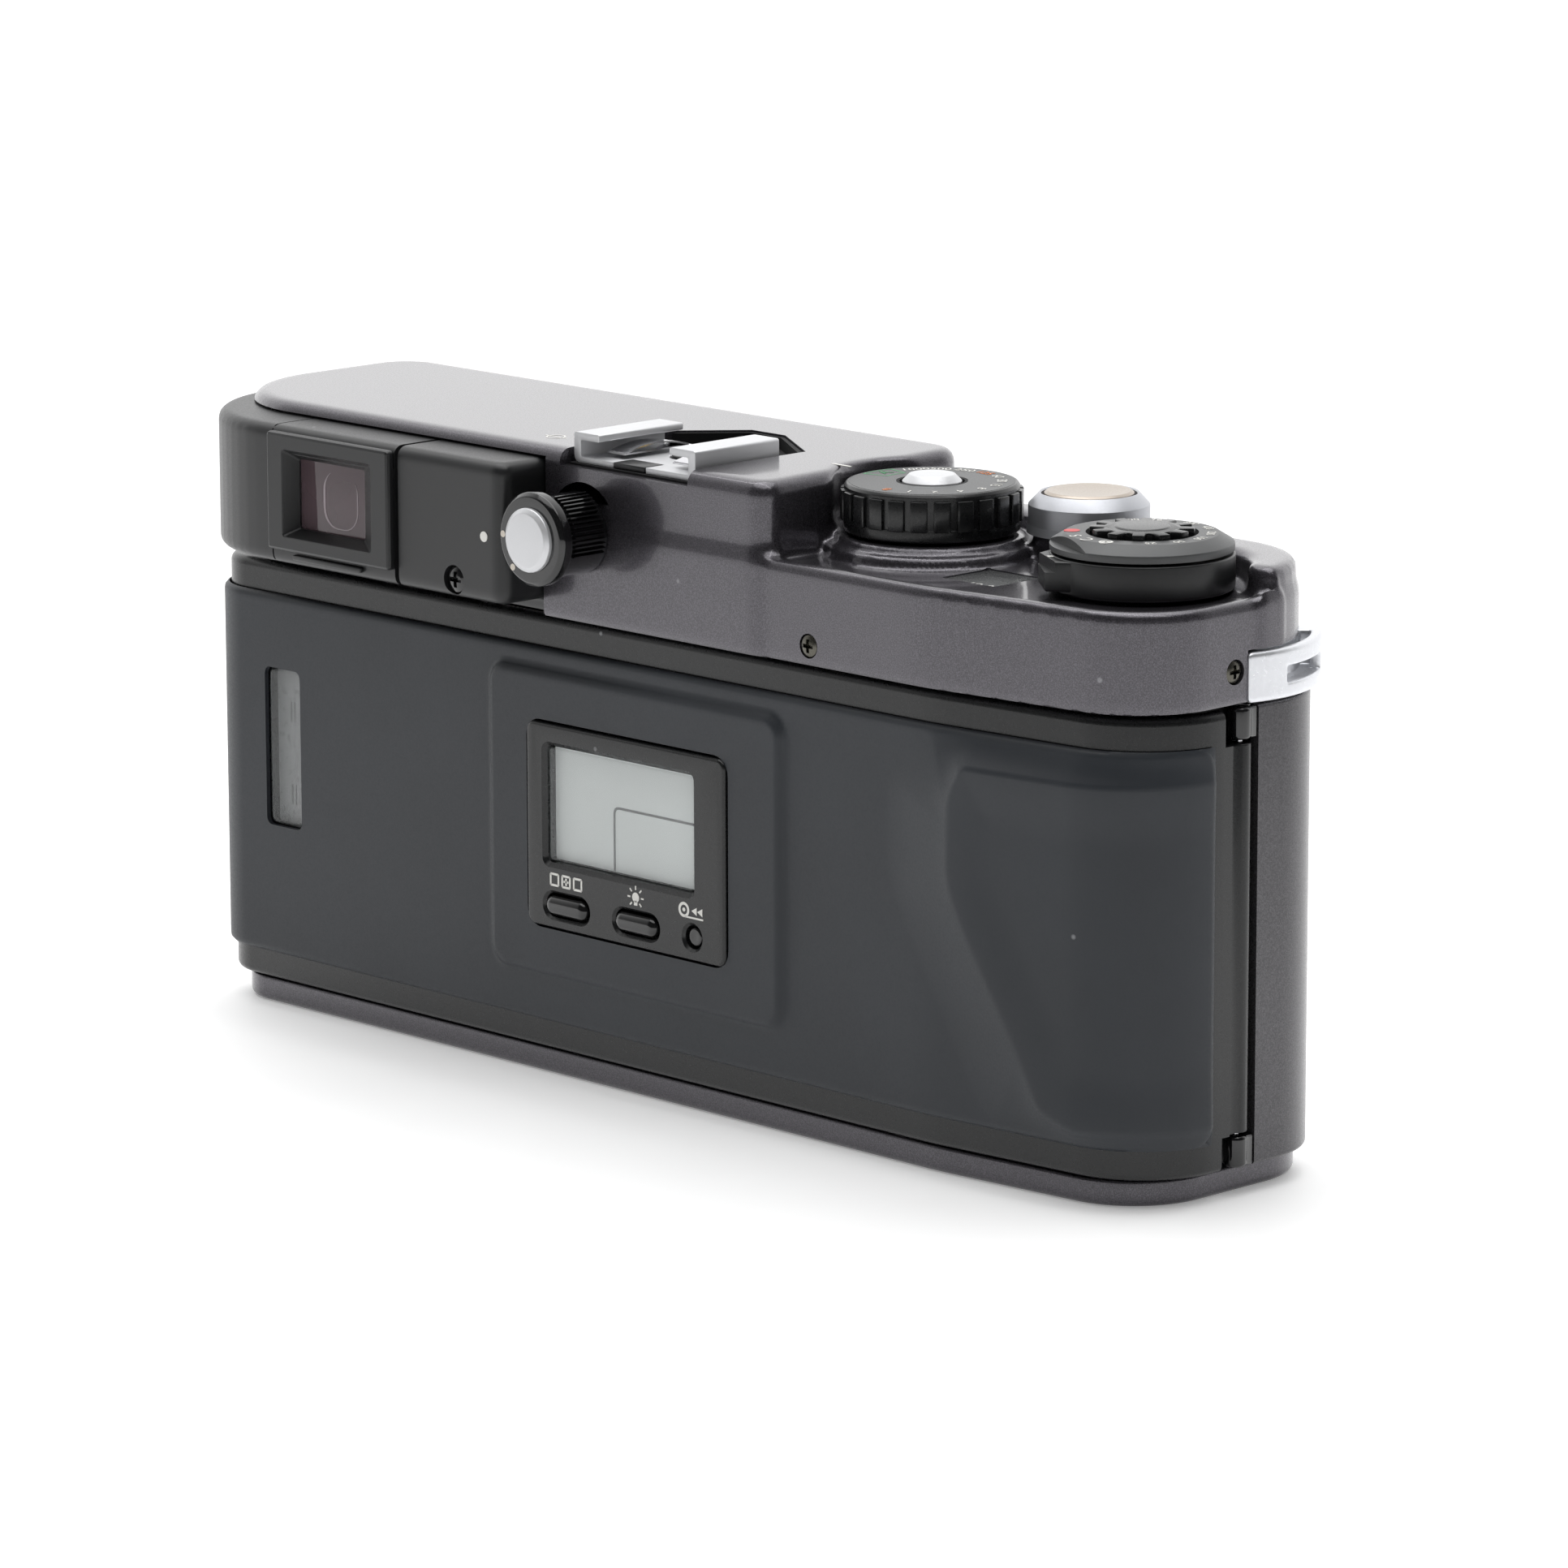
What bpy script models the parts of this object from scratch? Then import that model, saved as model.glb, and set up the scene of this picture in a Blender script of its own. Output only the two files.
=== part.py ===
"""Rangefinder camera body with two picture formats, modelled as its separate pieces.

Frame: +X is the photographer's left (the viewfinder end), +Y is the back (the film
door), +Z is up.  The origin is on the base plate's underside, below the shoe.
All the sizes below are millimetres; MM turns them into Blender's metres.
"""
import math

import bmesh
import bpy
from mathutils import Matrix, Vector

MM = 0.001

# ---------------------------------------------------------------- driving sizes
GAP = 0.3                     # running gap between two neighbouring pieces
ARC_STEPS = 5                 # straight steps in a rounded corner of an outline
UP, DOWN, BACKWARD = (0, 0, 1), (0, 0, -1), (0, 1, 0)

LEFT_END = 81.9               # body ends, back and front, without the skins
RIGHT_END = -83.0
DOOR_BACK = 18.4
FRONT = -13.0
GRIP_FRONT = -18.5
END_RADIUS = 12.0
SHEET = 1.3                   # wall of the door and of the front shell
SKIN = 0.7                    # rubber skins

BASE_TOP = 3.25
BODY_BOTTOM = BASE_TOP + GAP
BODY_TOP = 58.5
COVER_BOTTOM = 58.9
DECK_TOP = 70.3
SHOULDER_TOP = 74.2
HUMP_TOP = 80.0
COVER_BACK = 19.3
COVER_FRONT = -16.4
COVER_WALL = 1.5

HINGE_X, HINGE_Y = -81.8, -0.2
HINGE_RADIUS = 1.4
PIN_RADIUS = 0.45
DOOR_SPLIT_LEFT = 8.0         # the door's wall ends here on the viewfinder side
DOOR_SPLIT_RIGHT = 2.1

OPTICAL_X, OPTICAL_Z = 0.75, 31.0
FLANGE_Y = -21.0
MOUNT_RADIUS = 26.5
THROAT_RADIUS = 24.2
GATE_WIDTH, GATE_HEIGHT = 65.0, 24.0
FILM_PLANE = 13.2

CASSETTE = (60.0, 4.3, 13.3)  # x, y and radius of each film chamber
TAKE_UP = (-56.0, 6.0, 11.3)
SPROCKET = (-38.6, 7.2, 6.6)
CELL = (-70.0, -8.2, 7.8)
CHAMBER_LOW, CHAMBER_HIGH = 7.0, 57.0

SPEED_DIAL = (-32.3, 0.5)
MODE_DIAL = (-67.5, 1.2)
RELEASE = (-47.5, -10.8)
FORMAT_KNOB = (8.0, 70.3)
LENS_BUTTON = (25.0, 9.5)
SOCKET_Y = -4.2
LUG = (67.0, -5.0, 17.2)      # x (both ends), y and outer radius of a strap lug
LUG_LOW, LUG_HIGH = 58.9, 64.9
FINDER_TOP = 78.5             # top of the eyepiece block
FINDER_END = 15.0             # its end beside the format knob
FINDER_CORNER = (63.2, 0.7)   # centre of the round corner that the eyepiece block wraps
KEY_ROW = 22.7                # height of the three small keys under the display
TRIPOD = (OPTICAL_X, -6.8)
SHOE_CONTACT = (OPTICAL_X, 9.0)
BACK_SCREW = (-31.4, 61.4)    # x and z of the cover's screw in the back wall
END_SCREW = (2.1, 62.9)       # y and z of the cover's screw in the right end wall
END_WALL = -83.2              # right end of the top cover
SCREW_RADIUS = 1.2

# ---------------------------------------------------------------- scene and helpers


def fresh_collection(name):
    collection = bpy.data.collections.new(name)
    bpy.context.scene.collection.children.link(collection)
    return collection


for leftover in list(bpy.data.objects):
    bpy.data.objects.remove(leftover, do_unlink=True)
PARTS = fresh_collection("rangefinder_camera")
CUTTERS = fresh_collection("cutters")


def material(name, colour, roughness, metallic):
    made = bpy.data.materials.new(name)
    made.use_nodes = True
    shader = made.node_tree.nodes["Principled BSDF"]
    shader.inputs["Base Color"].default_value = (*colour, 1.0)
    shader.inputs["Roughness"].default_value = roughness
    shader.inputs["Metallic"].default_value = metallic
    return made


DARK_METAL = material("dark_metal", (0.10, 0.095, 0.10), 0.42, 0.7)
BLACK_METAL = material("black_metal", (0.02, 0.02, 0.021), 0.38, 0.4)
BLACK_PLASTIC = material("black_plastic", (0.02, 0.02, 0.02), 0.45, 0.0)
RUBBER = material("rubber", (0.045, 0.048, 0.055), 0.75, 0.0)
SATIN_SILVER = material("satin_silver", (0.72, 0.72, 0.73), 0.3, 1.0)
CHAMPAGNE = material("champagne", (0.62, 0.55, 0.47), 0.35, 1.0)
GLASS = material("glass", (0.25, 0.22, 0.24), 0.08, 0.0)
BRASS = material("brass", (0.72, 0.52, 0.22), 0.3, 1.0)
STEEL = material("steel", (0.55, 0.55, 0.56), 0.3, 1.0)
CAST_ALLOY = material("cast_alloy", (0.05, 0.05, 0.05), 0.6, 0.5)
CIRCUIT = material("circuit", (0.03, 0.16, 0.07), 0.5, 0.0)
LABEL = material("cell_label", (0.20, 0.28, 0.42), 0.4, 0.0)


def finish(obj, finish_material, smooth_angle=35.0):
    """Put a piece in the parts collection with its material and smooth shading."""
    for holder in list(obj.users_collection):
        holder.objects.unlink(obj)
    PARTS.objects.link(obj)
    obj.data.materials.clear()
    obj.data.materials.append(finish_material)
    obj.data.shade_smooth()
    obj.data.set_sharp_from_angle(angle=math.radians(smooth_angle))
    return obj


def as_object(name, mesh_builder):
    """A new object from a function that fills a bmesh in millimetres."""
    mesh = bpy.data.meshes.new(name)
    work = bmesh.new()
    mesh_builder(work)
    bmesh.ops.scale(work, vec=(MM, MM, MM), verts=work.verts)
    bmesh.ops.recalc_face_normals(work, faces=work.faces)
    work.to_mesh(mesh)
    work.free()
    obj = bpy.data.objects.new(name, mesh)
    CUTTERS.objects.link(obj)
    obj.hide_render = True
    obj.display_type = "WIRE"
    return obj


def to_part(obj, finish_material):
    obj.hide_render = False
    obj.display_type = "TEXTURED"
    return finish(obj, finish_material)


def corners_to_points(corners, steps=ARC_STEPS):
    """Outline points from (x, y) or (x, y, radius) corners, with round corners as arcs."""
    points = []
    count = len(corners)
    for index, corner in enumerate(corners):
        here = Vector(corner[:2])
        radius = corner[2] if len(corner) > 2 else 0.0
        if radius <= 0.0:
            points.append(here)
            continue
        before = (Vector(corners[index - 1][:2]) - here).normalized()
        after = (Vector(corners[(index + 1) % count][:2]) - here).normalized()
        half = before.angle(after) / 2
        reach = radius / math.tan(half)
        centre = here + (before + after).normalized() * (radius / math.sin(half))
        start = here + before * reach - centre
        end = here + after * reach - centre
        sweep = start.angle_signed(end)
        for step in range(steps + 1):
            turned_start = start.copy()
            turned_start.rotate(Matrix.Rotation(-sweep * step / steps, 2))
            points.append(centre + turned_start)
    return points


def ring_points(radius, count, centre=(0.0, 0.0), start=0.0, end=360.0):
    """Points on an arc; a full circle leaves out the repeated last point."""
    full = abs(end - start) >= 360.0
    spans = count if full else count - 1
    angles = [math.radians(start + (end - start) * step / spans) for step in range(count)]
    return [Vector((centre[0] + radius * math.cos(a), centre[1] + radius * math.sin(a)))
            for a in angles]


TO_PLANE = {
    "Z": Matrix.Identity(4),
    "Y": Matrix(((1, 0, 0, 0), (0, 0, -1, 0), (0, 1, 0, 0), (0, 0, 0, 1))),
    "X": Matrix(((0, 0, 1, 0), (1, 0, 0, 0), (0, 1, 0, 0), (0, 0, 0, 1))),
}


def extruded(name, outlines, low, high, along="Z"):
    """A flat outline (with holes, if more than one is given) extruded along an axis.

    Along Z the outline is (x, y), along Y it is (x, z) and along X it is (y, z).
    """
    curve = bpy.data.curves.new(name, "CURVE")
    curve.dimensions = "2D"
    curve.fill_mode = "BOTH"
    curve.extrude = (high - low) / 2
    for outline in outlines:
        spline = curve.splines.new("POLY")
        spline.points.add(len(outline) - 1)
        for point, place in zip(spline.points, outline):
            point.co = (place[0], place[1], 0.0, 1.0)
        spline.use_cyclic_u = True
    guide = bpy.data.objects.new(name + "_guide", curve)
    CUTTERS.objects.link(guide)
    graph = bpy.context.evaluated_depsgraph_get()
    filled = bpy.data.meshes.new_from_object(guide.evaluated_get(graph))
    middle = (high + low) / 2 * (-1 if along == "Y" else 1)

    def fill(work):
        work.from_mesh(filled)
        bmesh.ops.remove_doubles(work, verts=work.verts, dist=0.0001)
        work.transform(TO_PLANE[along] @ Matrix.Translation((0, 0, middle)))

    obj = as_object(name, fill)
    bpy.data.objects.remove(guide, do_unlink=True)
    bpy.data.curves.remove(curve)
    bpy.data.meshes.remove(filled)
    return obj


def block(name, low, high):
    size = Vector(high) - Vector(low)
    middle = (Vector(high) + Vector(low)) / 2

    def fill(work):
        bmesh.ops.create_cube(work, size=1.0)
        bmesh.ops.scale(work, vec=size, verts=work.verts)
        bmesh.ops.translate(work, vec=middle, verts=work.verts)

    return as_object(name, fill)


def rod(name, centre, radius, low, high, along="Z", sides=24, top_radius=None):
    """A round rod or cone; centre is the pair of coordinates across the axis."""
    def fill(work):
        bmesh.ops.create_cone(
            work, cap_ends=True, segments=sides, radius1=radius,
            radius2=radius if top_radius is None else top_radius, depth=high - low)
        if along == "Z":
            spot = (centre[0], centre[1], (high + low) / 2)
        elif along == "Y":
            work.transform(Matrix.Rotation(math.radians(-90), 4, "X"))
            spot = (centre[0], (high + low) / 2, centre[1])
        else:
            work.transform(Matrix.Rotation(math.radians(90), 4, "Y"))
            spot = ((high + low) / 2, centre[0], centre[1])
        bmesh.ops.translate(work, vec=spot, verts=work.verts)

    return as_object(name, fill)


def turned(name, profile, centre, sides=32, along="Z"):
    """A turned piece from (radius, height) pairs that run from the top to the bottom."""
    mesh = bpy.data.meshes.new(name)
    work = bmesh.new()
    verts = [work.verts.new((radius * MM, 0.0, height * MM)) for radius, height in profile]
    for first, second in zip(verts, verts[1:]):
        work.edges.new((first, second))
    if profile[0][0] > 0.0:
        work.edges.new((verts[-1], verts[0]))
    work.to_mesh(mesh)
    work.free()
    obj = bpy.data.objects.new(name, mesh)
    CUTTERS.objects.link(obj)
    screw = obj.modifiers.new("turn", "SCREW")
    screw.steps = sides
    screw.render_steps = sides
    screw.use_merge_vertices = True
    screw.merge_threshold = 0.00001
    graph = bpy.context.evaluated_depsgraph_get()
    solid = bpy.data.meshes.new_from_object(obj.evaluated_get(graph))
    bpy.data.objects.remove(obj, do_unlink=True)

    def fill(target):
        target.from_mesh(solid)
        bmesh.ops.scale(target, vec=(1 / MM,) * 3, verts=target.verts)
        bmesh.ops.remove_doubles(target, verts=target.verts, dist=0.001)
        if along == "Y":
            target.transform(Matrix.Rotation(math.radians(-90), 4, "X"))
            spot = (centre[0], 0.0, centre[1])
        else:
            spot = (centre[0], centre[1], 0.0)
        bmesh.ops.translate(target, vec=spot, verts=target.verts)

    return as_object(name, fill)


def boolean(target, tool, operation):
    step = target.modifiers.new(operation.lower(), "BOOLEAN")
    step.operation = operation
    step.solver = "EXACT"
    step.object = tool
    return target


def cut(target, *tools):
    for tool in tools:
        boolean(target, tool, "DIFFERENCE")
    return target


def join(target, *tools):
    for tool in tools:
        boolean(target, tool, "UNION")
    return target


def soften(obj, facing, width, steps=2):
    """Round the rim of the flat end that faces the given way, by insetting it in steps."""
    direction = Vector(facing)
    work = bmesh.new()
    work.from_mesh(obj.data)
    reach = max(vert.co.dot(direction) for vert in work.verts)
    rim = [vert for vert in work.verts if vert.co.dot(direction) > reach - 0.01 * MM]
    flat = [face for face in work.faces if all(vert in rim for vert in face.verts)]
    end = bmesh.ops.dissolve_faces(work, faces=flat)["region"]
    for vert in rim:
        vert.co -= direction * width * MM
    for step in range(steps):
        first = math.pi / 2 * step / steps
        last = math.pi / 2 * (step + 1) / steps
        bmesh.ops.inset_region(
            work, faces=end, use_even_offset=True,
            thickness=width * MM * (math.cos(first) - math.cos(last)),
            depth=width * MM * (math.sin(last) - math.sin(first)))
    work.to_mesh(obj.data)
    work.free()
    return obj


def move_origin(obj, place):
    """Put a moving piece's origin on its joint, without moving the piece."""
    spot = Vector(place) * MM
    obj.data.transform(Matrix.Translation(-spot))
    obj.location = spot
    return obj


# ---------------------------------------------------------------- shared outlines


def body_plan(inset=0.0):
    """Plan of the middle body: straight back with a tapered right corner, and a grip."""
    return corners_to_points([
        (LEFT_END - inset, DOOR_BACK - inset, 7.4 - inset),
        (-50.0, DOOR_BACK - inset, 60.0),
        (RIGHT_END + inset, 15.6 - inset, END_RADIUS - inset),
        (RIGHT_END + inset, GRIP_FRONT + inset, END_RADIUS - inset),
        (-45.0 - inset, GRIP_FRONT + inset, 5.0),
        (-38.0 - inset, FRONT + inset, 4.0),
        (LEFT_END - inset, FRONT + inset, 9.0 - inset),
    ])


def hump_plan(inset=0.0):
    return corners_to_points([
        (81.8 - inset, COVER_BACK - inset, 18.6 - inset),
        (-24.0 + inset, COVER_BACK - inset, 2.6),
        (-22.0 + inset, COVER_FRONT + inset, 5.0),
        (81.8 - inset, COVER_FRONT + inset, 6.0),
    ])


def cover_plan(inset=0.0):
    return corners_to_points([
        (81.8 - inset, COVER_BACK - inset, 18.6 - inset),
        (-50.0, COVER_BACK - inset, 60.0),
        (END_WALL + inset, 16.4 - inset, 11.0 - inset),
        (END_WALL + inset, COVER_FRONT - 1.0 + inset, 15.0 - inset),
        (-38.0, COVER_FRONT - 1.0 + inset, 20.0),
        (-20.0, COVER_FRONT + inset, 20.0),
        (81.8 - inset, COVER_FRONT + inset, 6.0),
    ])


def lug_sector(side, inner, outer, first=163.0, last=236.0):
    """Plan of a strap lug: a ring sector around a front corner; side is -1 or 1."""
    x, y, _ = LUG
    start, end = (first, last) if side < 0 else (180.0 - first, 180.0 - last)
    out = ring_points(outer, 9, (side * x, y), start, end)
    back = ring_points(inner, 9, (side * x, y), end, start)
    return out + back


# ---------------------------------------------------------------- chassis and shells


def build_main_frame():
    frame = extruded("main_frame", [corners_to_points([
        (79.9, FILM_PLANE, 2.0), (-79.8, FILM_PLANE, 9.3), (-79.8, -3.4), (-80.9, -4.6),
        (-80.9, -16.6, 9.6), (-47.4, -16.6, 3.0), (-40.4, -11.1, 3.0), (79.9, -11.1, 7.2),
    ])], BODY_BOTTOM, BODY_TOP)
    for label, (x, y, radius) in (("cassette", CASSETTE), ("take_up", TAKE_UP),
                                  ("sprocket", SPROCKET)):
        chamber = rod(label + "_bore", (x, y), radius, CHAMBER_LOW, CHAMBER_HIGH, sides=20)
        mouth = block(label + "_mouth", (x - radius * 0.98, y + 0.2, CHAMBER_LOW),
                      (x + radius * 0.98, 20.0, CHAMBER_HIGH))
        cut(frame, chamber, mouth)
    throat = rod("throat_bore", (OPTICAL_X, OPTICAL_Z), THROAT_RADIUS, -20.0, 2.0, "Y", 32)
    dark_box = block("dark_box", (-33.4, 0.5, 15.5), (36.0, 11.4, 46.5))
    blade_well = block("blade_well", (-33.4, 4.0, 7.0), (36.0, 9.3, 20.0))
    gate = block("film_gate", (OPTICAL_X - GATE_WIDTH / 2, 10.0, OPTICAL_Z - GATE_HEIGHT / 2),
                 (OPTICAL_X + GATE_WIDTH / 2, 20.0, OPTICAL_Z + GATE_HEIGHT / 2))
    cell_bore = rod("cell_bore", CELL[:2], CELL[2] + 0.4, -1.0, 70.0, sides=20)
    latch_pocket = block("latch_pocket", (75.4, -6.0, 30.0), (90.0, 20.0, 50.0))
    cut(frame, throat, dark_box, blade_well, gate, cell_bore, latch_pocket)
    for label, x, y, radius in (("spool", TAKE_UP[0], TAKE_UP[1], 2.1),
                                ("sprocket", SPROCKET[0], SPROCKET[1], 1.9),
                                ("fork", CASSETTE[0], CASSETTE[1], 3.0)):
        cut(frame, rod(label + "_bearing", (x, y), radius, 50.0, 70.0, sides=16))
    tripod = rod("tripod_bore", TRIPOD, 5.0, -1.0, 6.4)
    button_bore = rod("button_bore", LENS_BUTTON, 2.9, -12.0, -7.0, "Y", 20)
    cut(frame, tripod, button_bore)
    return to_part(frame, CAST_ALLOY)


def build_front_cover():
    """The shell round the front and both ends, with the lens boss and hinge knuckles."""
    shell = extruded("front_cover", [body_plan()], BODY_BOTTOM, BODY_TOP)
    boss = rod("lens_boss", (OPTICAL_X, OPTICAL_Z), MOUNT_RADIUS + 0.8, -18.9, FRONT + 0.5, "Y", 32)
    join(shell, boss)
    hollow = extruded("shell_hollow", [body_plan(SHEET)], -1.0, 70.0)
    cut(shell, hollow)
    open_back = extruded("shell_open_back", [[
        (-95.0, HINGE_Y - 2.0), (-60.0, HINGE_Y - 2.0), (-60.0, DOOR_SPLIT_LEFT - 0.4),
        (95.0, DOOR_SPLIT_LEFT - 0.4), (95.0, 30.0), (-95.0, 30.0)]], -1.0, 70.0)
    cut(shell, open_back)
    for low, high in ((BODY_BOTTOM, 7.4), (54.6, BODY_TOP)):
        knuckle = rod("knuckle_%d" % low, (HINGE_X, HINGE_Y), HINGE_RADIUS, low, high, sides=16)
        web = block("knuckle_web_%d" % low, (-82.9, -3.4, low), (-81.6, -0.4, high))
        join(shell, knuckle, web)
    pin_bore = rod("shell_pin_bore", (HINGE_X, HINGE_Y), PIN_RADIUS + GAP, 4.6, 57.6, sides=12)
    throat = rod("shell_throat", (OPTICAL_X, OPTICAL_Z), THROAT_RADIUS + 0.1, -25.0, 0.0, "Y", 32)
    button_hole = rod("release_hole", LENS_BUTTON, 2.9, -25.0, 0.0, "Y", 20)
    latch_slot = block("latch_slot", (78.0, -3.1, 34.6), (85.0, 0.9, 46.4))
    cut(shell, pin_bore, throat, button_hole, latch_slot)
    for label, z in (("sync", 50.0), ("cable", 24.0)):
        cut(shell, rod(label + "_hole", (SOCKET_Y, z), 2.7, 70.0, 90.0, "X", 16))
    return to_part(shell, DARK_METAL)


def build_front_skins():
    """Two rubber skins on the front of the shell, one each side of the lens boss."""
    for name, low_x, high_x in (("grip_rubber", -75.6, -27.0), ("front_rubber", 28.5, 90.0)):
        skin = extruded(name, [body_plan(-GAP - SKIN)], 7.0, 55.0)
        inner = extruded(name + "_inner", [body_plan(-GAP)], 0.0, 70.0)
        back = block(name + "_back", (-95.0, -7.0, 0.0), (95.0, 40.0, 70.0))
        side_low = block(name + "_low", (-120.0, -40.0, 0.0), (low_x, 40.0, 70.0))
        side_high = block(name + "_high", (high_x, -40.0, 0.0), (120.0, 40.0, 70.0))
        cut(skin, inner, back, side_low, side_high)
        to_part(skin, RUBBER)


def build_bottom_plate():
    plate = extruded("bottom_plate", [corners_to_points([
        (80.2, 17.4, 7.0), (-50.0, 17.4, 60.0), (-80.8, 14.8, 11.0), (-80.8, -18.2, 11.0),
        (-45.0, -18.2, 5.0), (-38.0, -12.4, 4.0), (80.2, -12.4, 8.0)])], 0.0, BASE_TOP)
    soften(plate, DOWN, 0.7, 1)
    tripod = rod("plate_tripod", TRIPOD, 5.0, -1.0, 5.0)
    cell = rod("plate_cell", CELL[:2], 8.9, -1.0, 5.0, sides=32)
    cut(plate, tripod, cell)
    return to_part(plate, DARK_METAL)


def build_top_cover():
    cover = extruded("top_cover", [cover_plan()], COVER_BOTTOM, DECK_TOP)
    soften(cover, UP, 1.0)
    hump = extruded("hump", [hump_plan()], COVER_BOTTOM + 1.0, HUMP_TOP)
    soften(hump, UP, 1.6, 3)
    shoulder = extruded("shoulder", [corners_to_points([
        (END_WALL, -1.0), (END_WALL, COVER_FRONT - 1.0, 15.0), (-38.0, COVER_FRONT - 1.0, 20.0),
        (-20.0, COVER_FRONT, 20.0), (-14.0, COVER_FRONT + 0.01), (-14.0, -1.0)])],
        COVER_BOTTOM + 1.0, SHOULDER_TOP)
    soften(shoulder, UP, 1.2)
    mode_dish = rod("mode_dish", MODE_DIAL, 12.4, DECK_TOP - 0.2, 90.0, sides=28)
    speed_dish = rod("speed_dish", SPEED_DIAL, 12.4, DECK_TOP - 0.2, 90.0, sides=28)
    shoulder_trim = block("shoulder_trim", (-77.0, -4.6, DECK_TOP - 0.2), (-10.0, 5.0, 90.0))
    cut(shoulder, mode_dish, speed_dish, shoulder_trim)
    hump_dish = rod("hump_dish", SPEED_DIAL, 11.7, DECK_TOP - 0.3, 90.0, sides=28)
    cut(hump, hump_dish)
    join(cover, hump, shoulder)
    speed_boss = rod("speed_boss", SPEED_DIAL, 11.8, DECK_TOP - 1.0, 72.8, sides=24, top_radius=10.9)
    knob_collar = rod("knob_collar", FORMAT_KNOB, 6.3, COVER_BACK - 1.0, 20.3, "Y", 24)
    join(cover, speed_boss, knob_collar)

    deck_hollow = extruded("deck_hollow", [cover_plan(COVER_WALL)], 50.0, DECK_TOP - 2.0)
    hump_hollow = extruded("hump_hollow", [corners_to_points([
        (79.5, COVER_BACK - 2.3, 16.3), (-16.5, COVER_BACK - 2.3), (-16.5, COVER_FRONT + 2.3),
        (79.5, COVER_FRONT + 2.3, 4.0)])], 50.0, 76.0)
    cut(cover, deck_hollow, hump_hollow)
    finder_step = block("finder_step", (FINDER_END - GAP, 18.3, 50.0), (64.2, 40.0, FINDER_TOP + GAP))
    finder_side = extruded("finder_side", [
        ring_points(40.0, 8, FINDER_CORNER, 90.0, 16.0)
        + ring_points(17.6, 8, FINDER_CORNER, 16.0, 90.0)], 50.0, FINDER_TOP + GAP)
    cut(cover, finder_step, finder_side)
    shoe_recess = extruded("shoe_recess", [[
        (-10.6, 30.0), (-10.6, 0.5), (0.0, -6.3), (5.9, -6.3), (12.1, 0.5), (12.1, 30.0)]],
        78.0, 90.0)
    counter = block("counter_hole", (-53.5, 3.4, 60.0), (-44.9, 11.6, 90.0))
    shaft_hole = rod("release_shaft_hole", RELEASE, 3.0, 60.0, 90.0, sides=16)
    speed_hole = rod("speed_shaft_hole", SPEED_DIAL, 2.6, 60.0, 90.0, sides=16)
    knob_hole = rod("format_shaft_hole", FORMAT_KNOB, 2.4, 10.0, 30.0, "Y", 16)
    cut(cover, shoe_recess, counter, shaft_hole, speed_hole, knob_hole)
    for side in (-1, 1):
        lug_seat = extruded("lug_seat_%d" % side, [lug_sector(side, 12.9, 30.0)], 50.0, LUG_HIGH + GAP)
        cut(cover, lug_seat)
    for label, low_x, high_x, low_z, high_z in (
            ("finder", 38.0, 58.0, 64.0, 76.0), ("bright", 16.5, 29.5, 66.0, 75.0),
            ("range", -6.0, 3.0, 66.0, 73.0)):
        cut(cover, block(label + "_window_hole", (low_x, -30.0, low_z), (high_x, -10.0, high_z)))
    back_seat = rod("back_screw_seat", BACK_SCREW, SCREW_RADIUS + GAP, COVER_BACK - 6.0, 40.0, "Y", 16)
    end_seat = rod("end_screw_seat", END_SCREW, SCREW_RADIUS + GAP, -90.0, END_WALL + 6.0, "X", 16)
    cut(cover, back_seat, end_seat)
    return to_part(cover, DARK_METAL)


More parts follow.
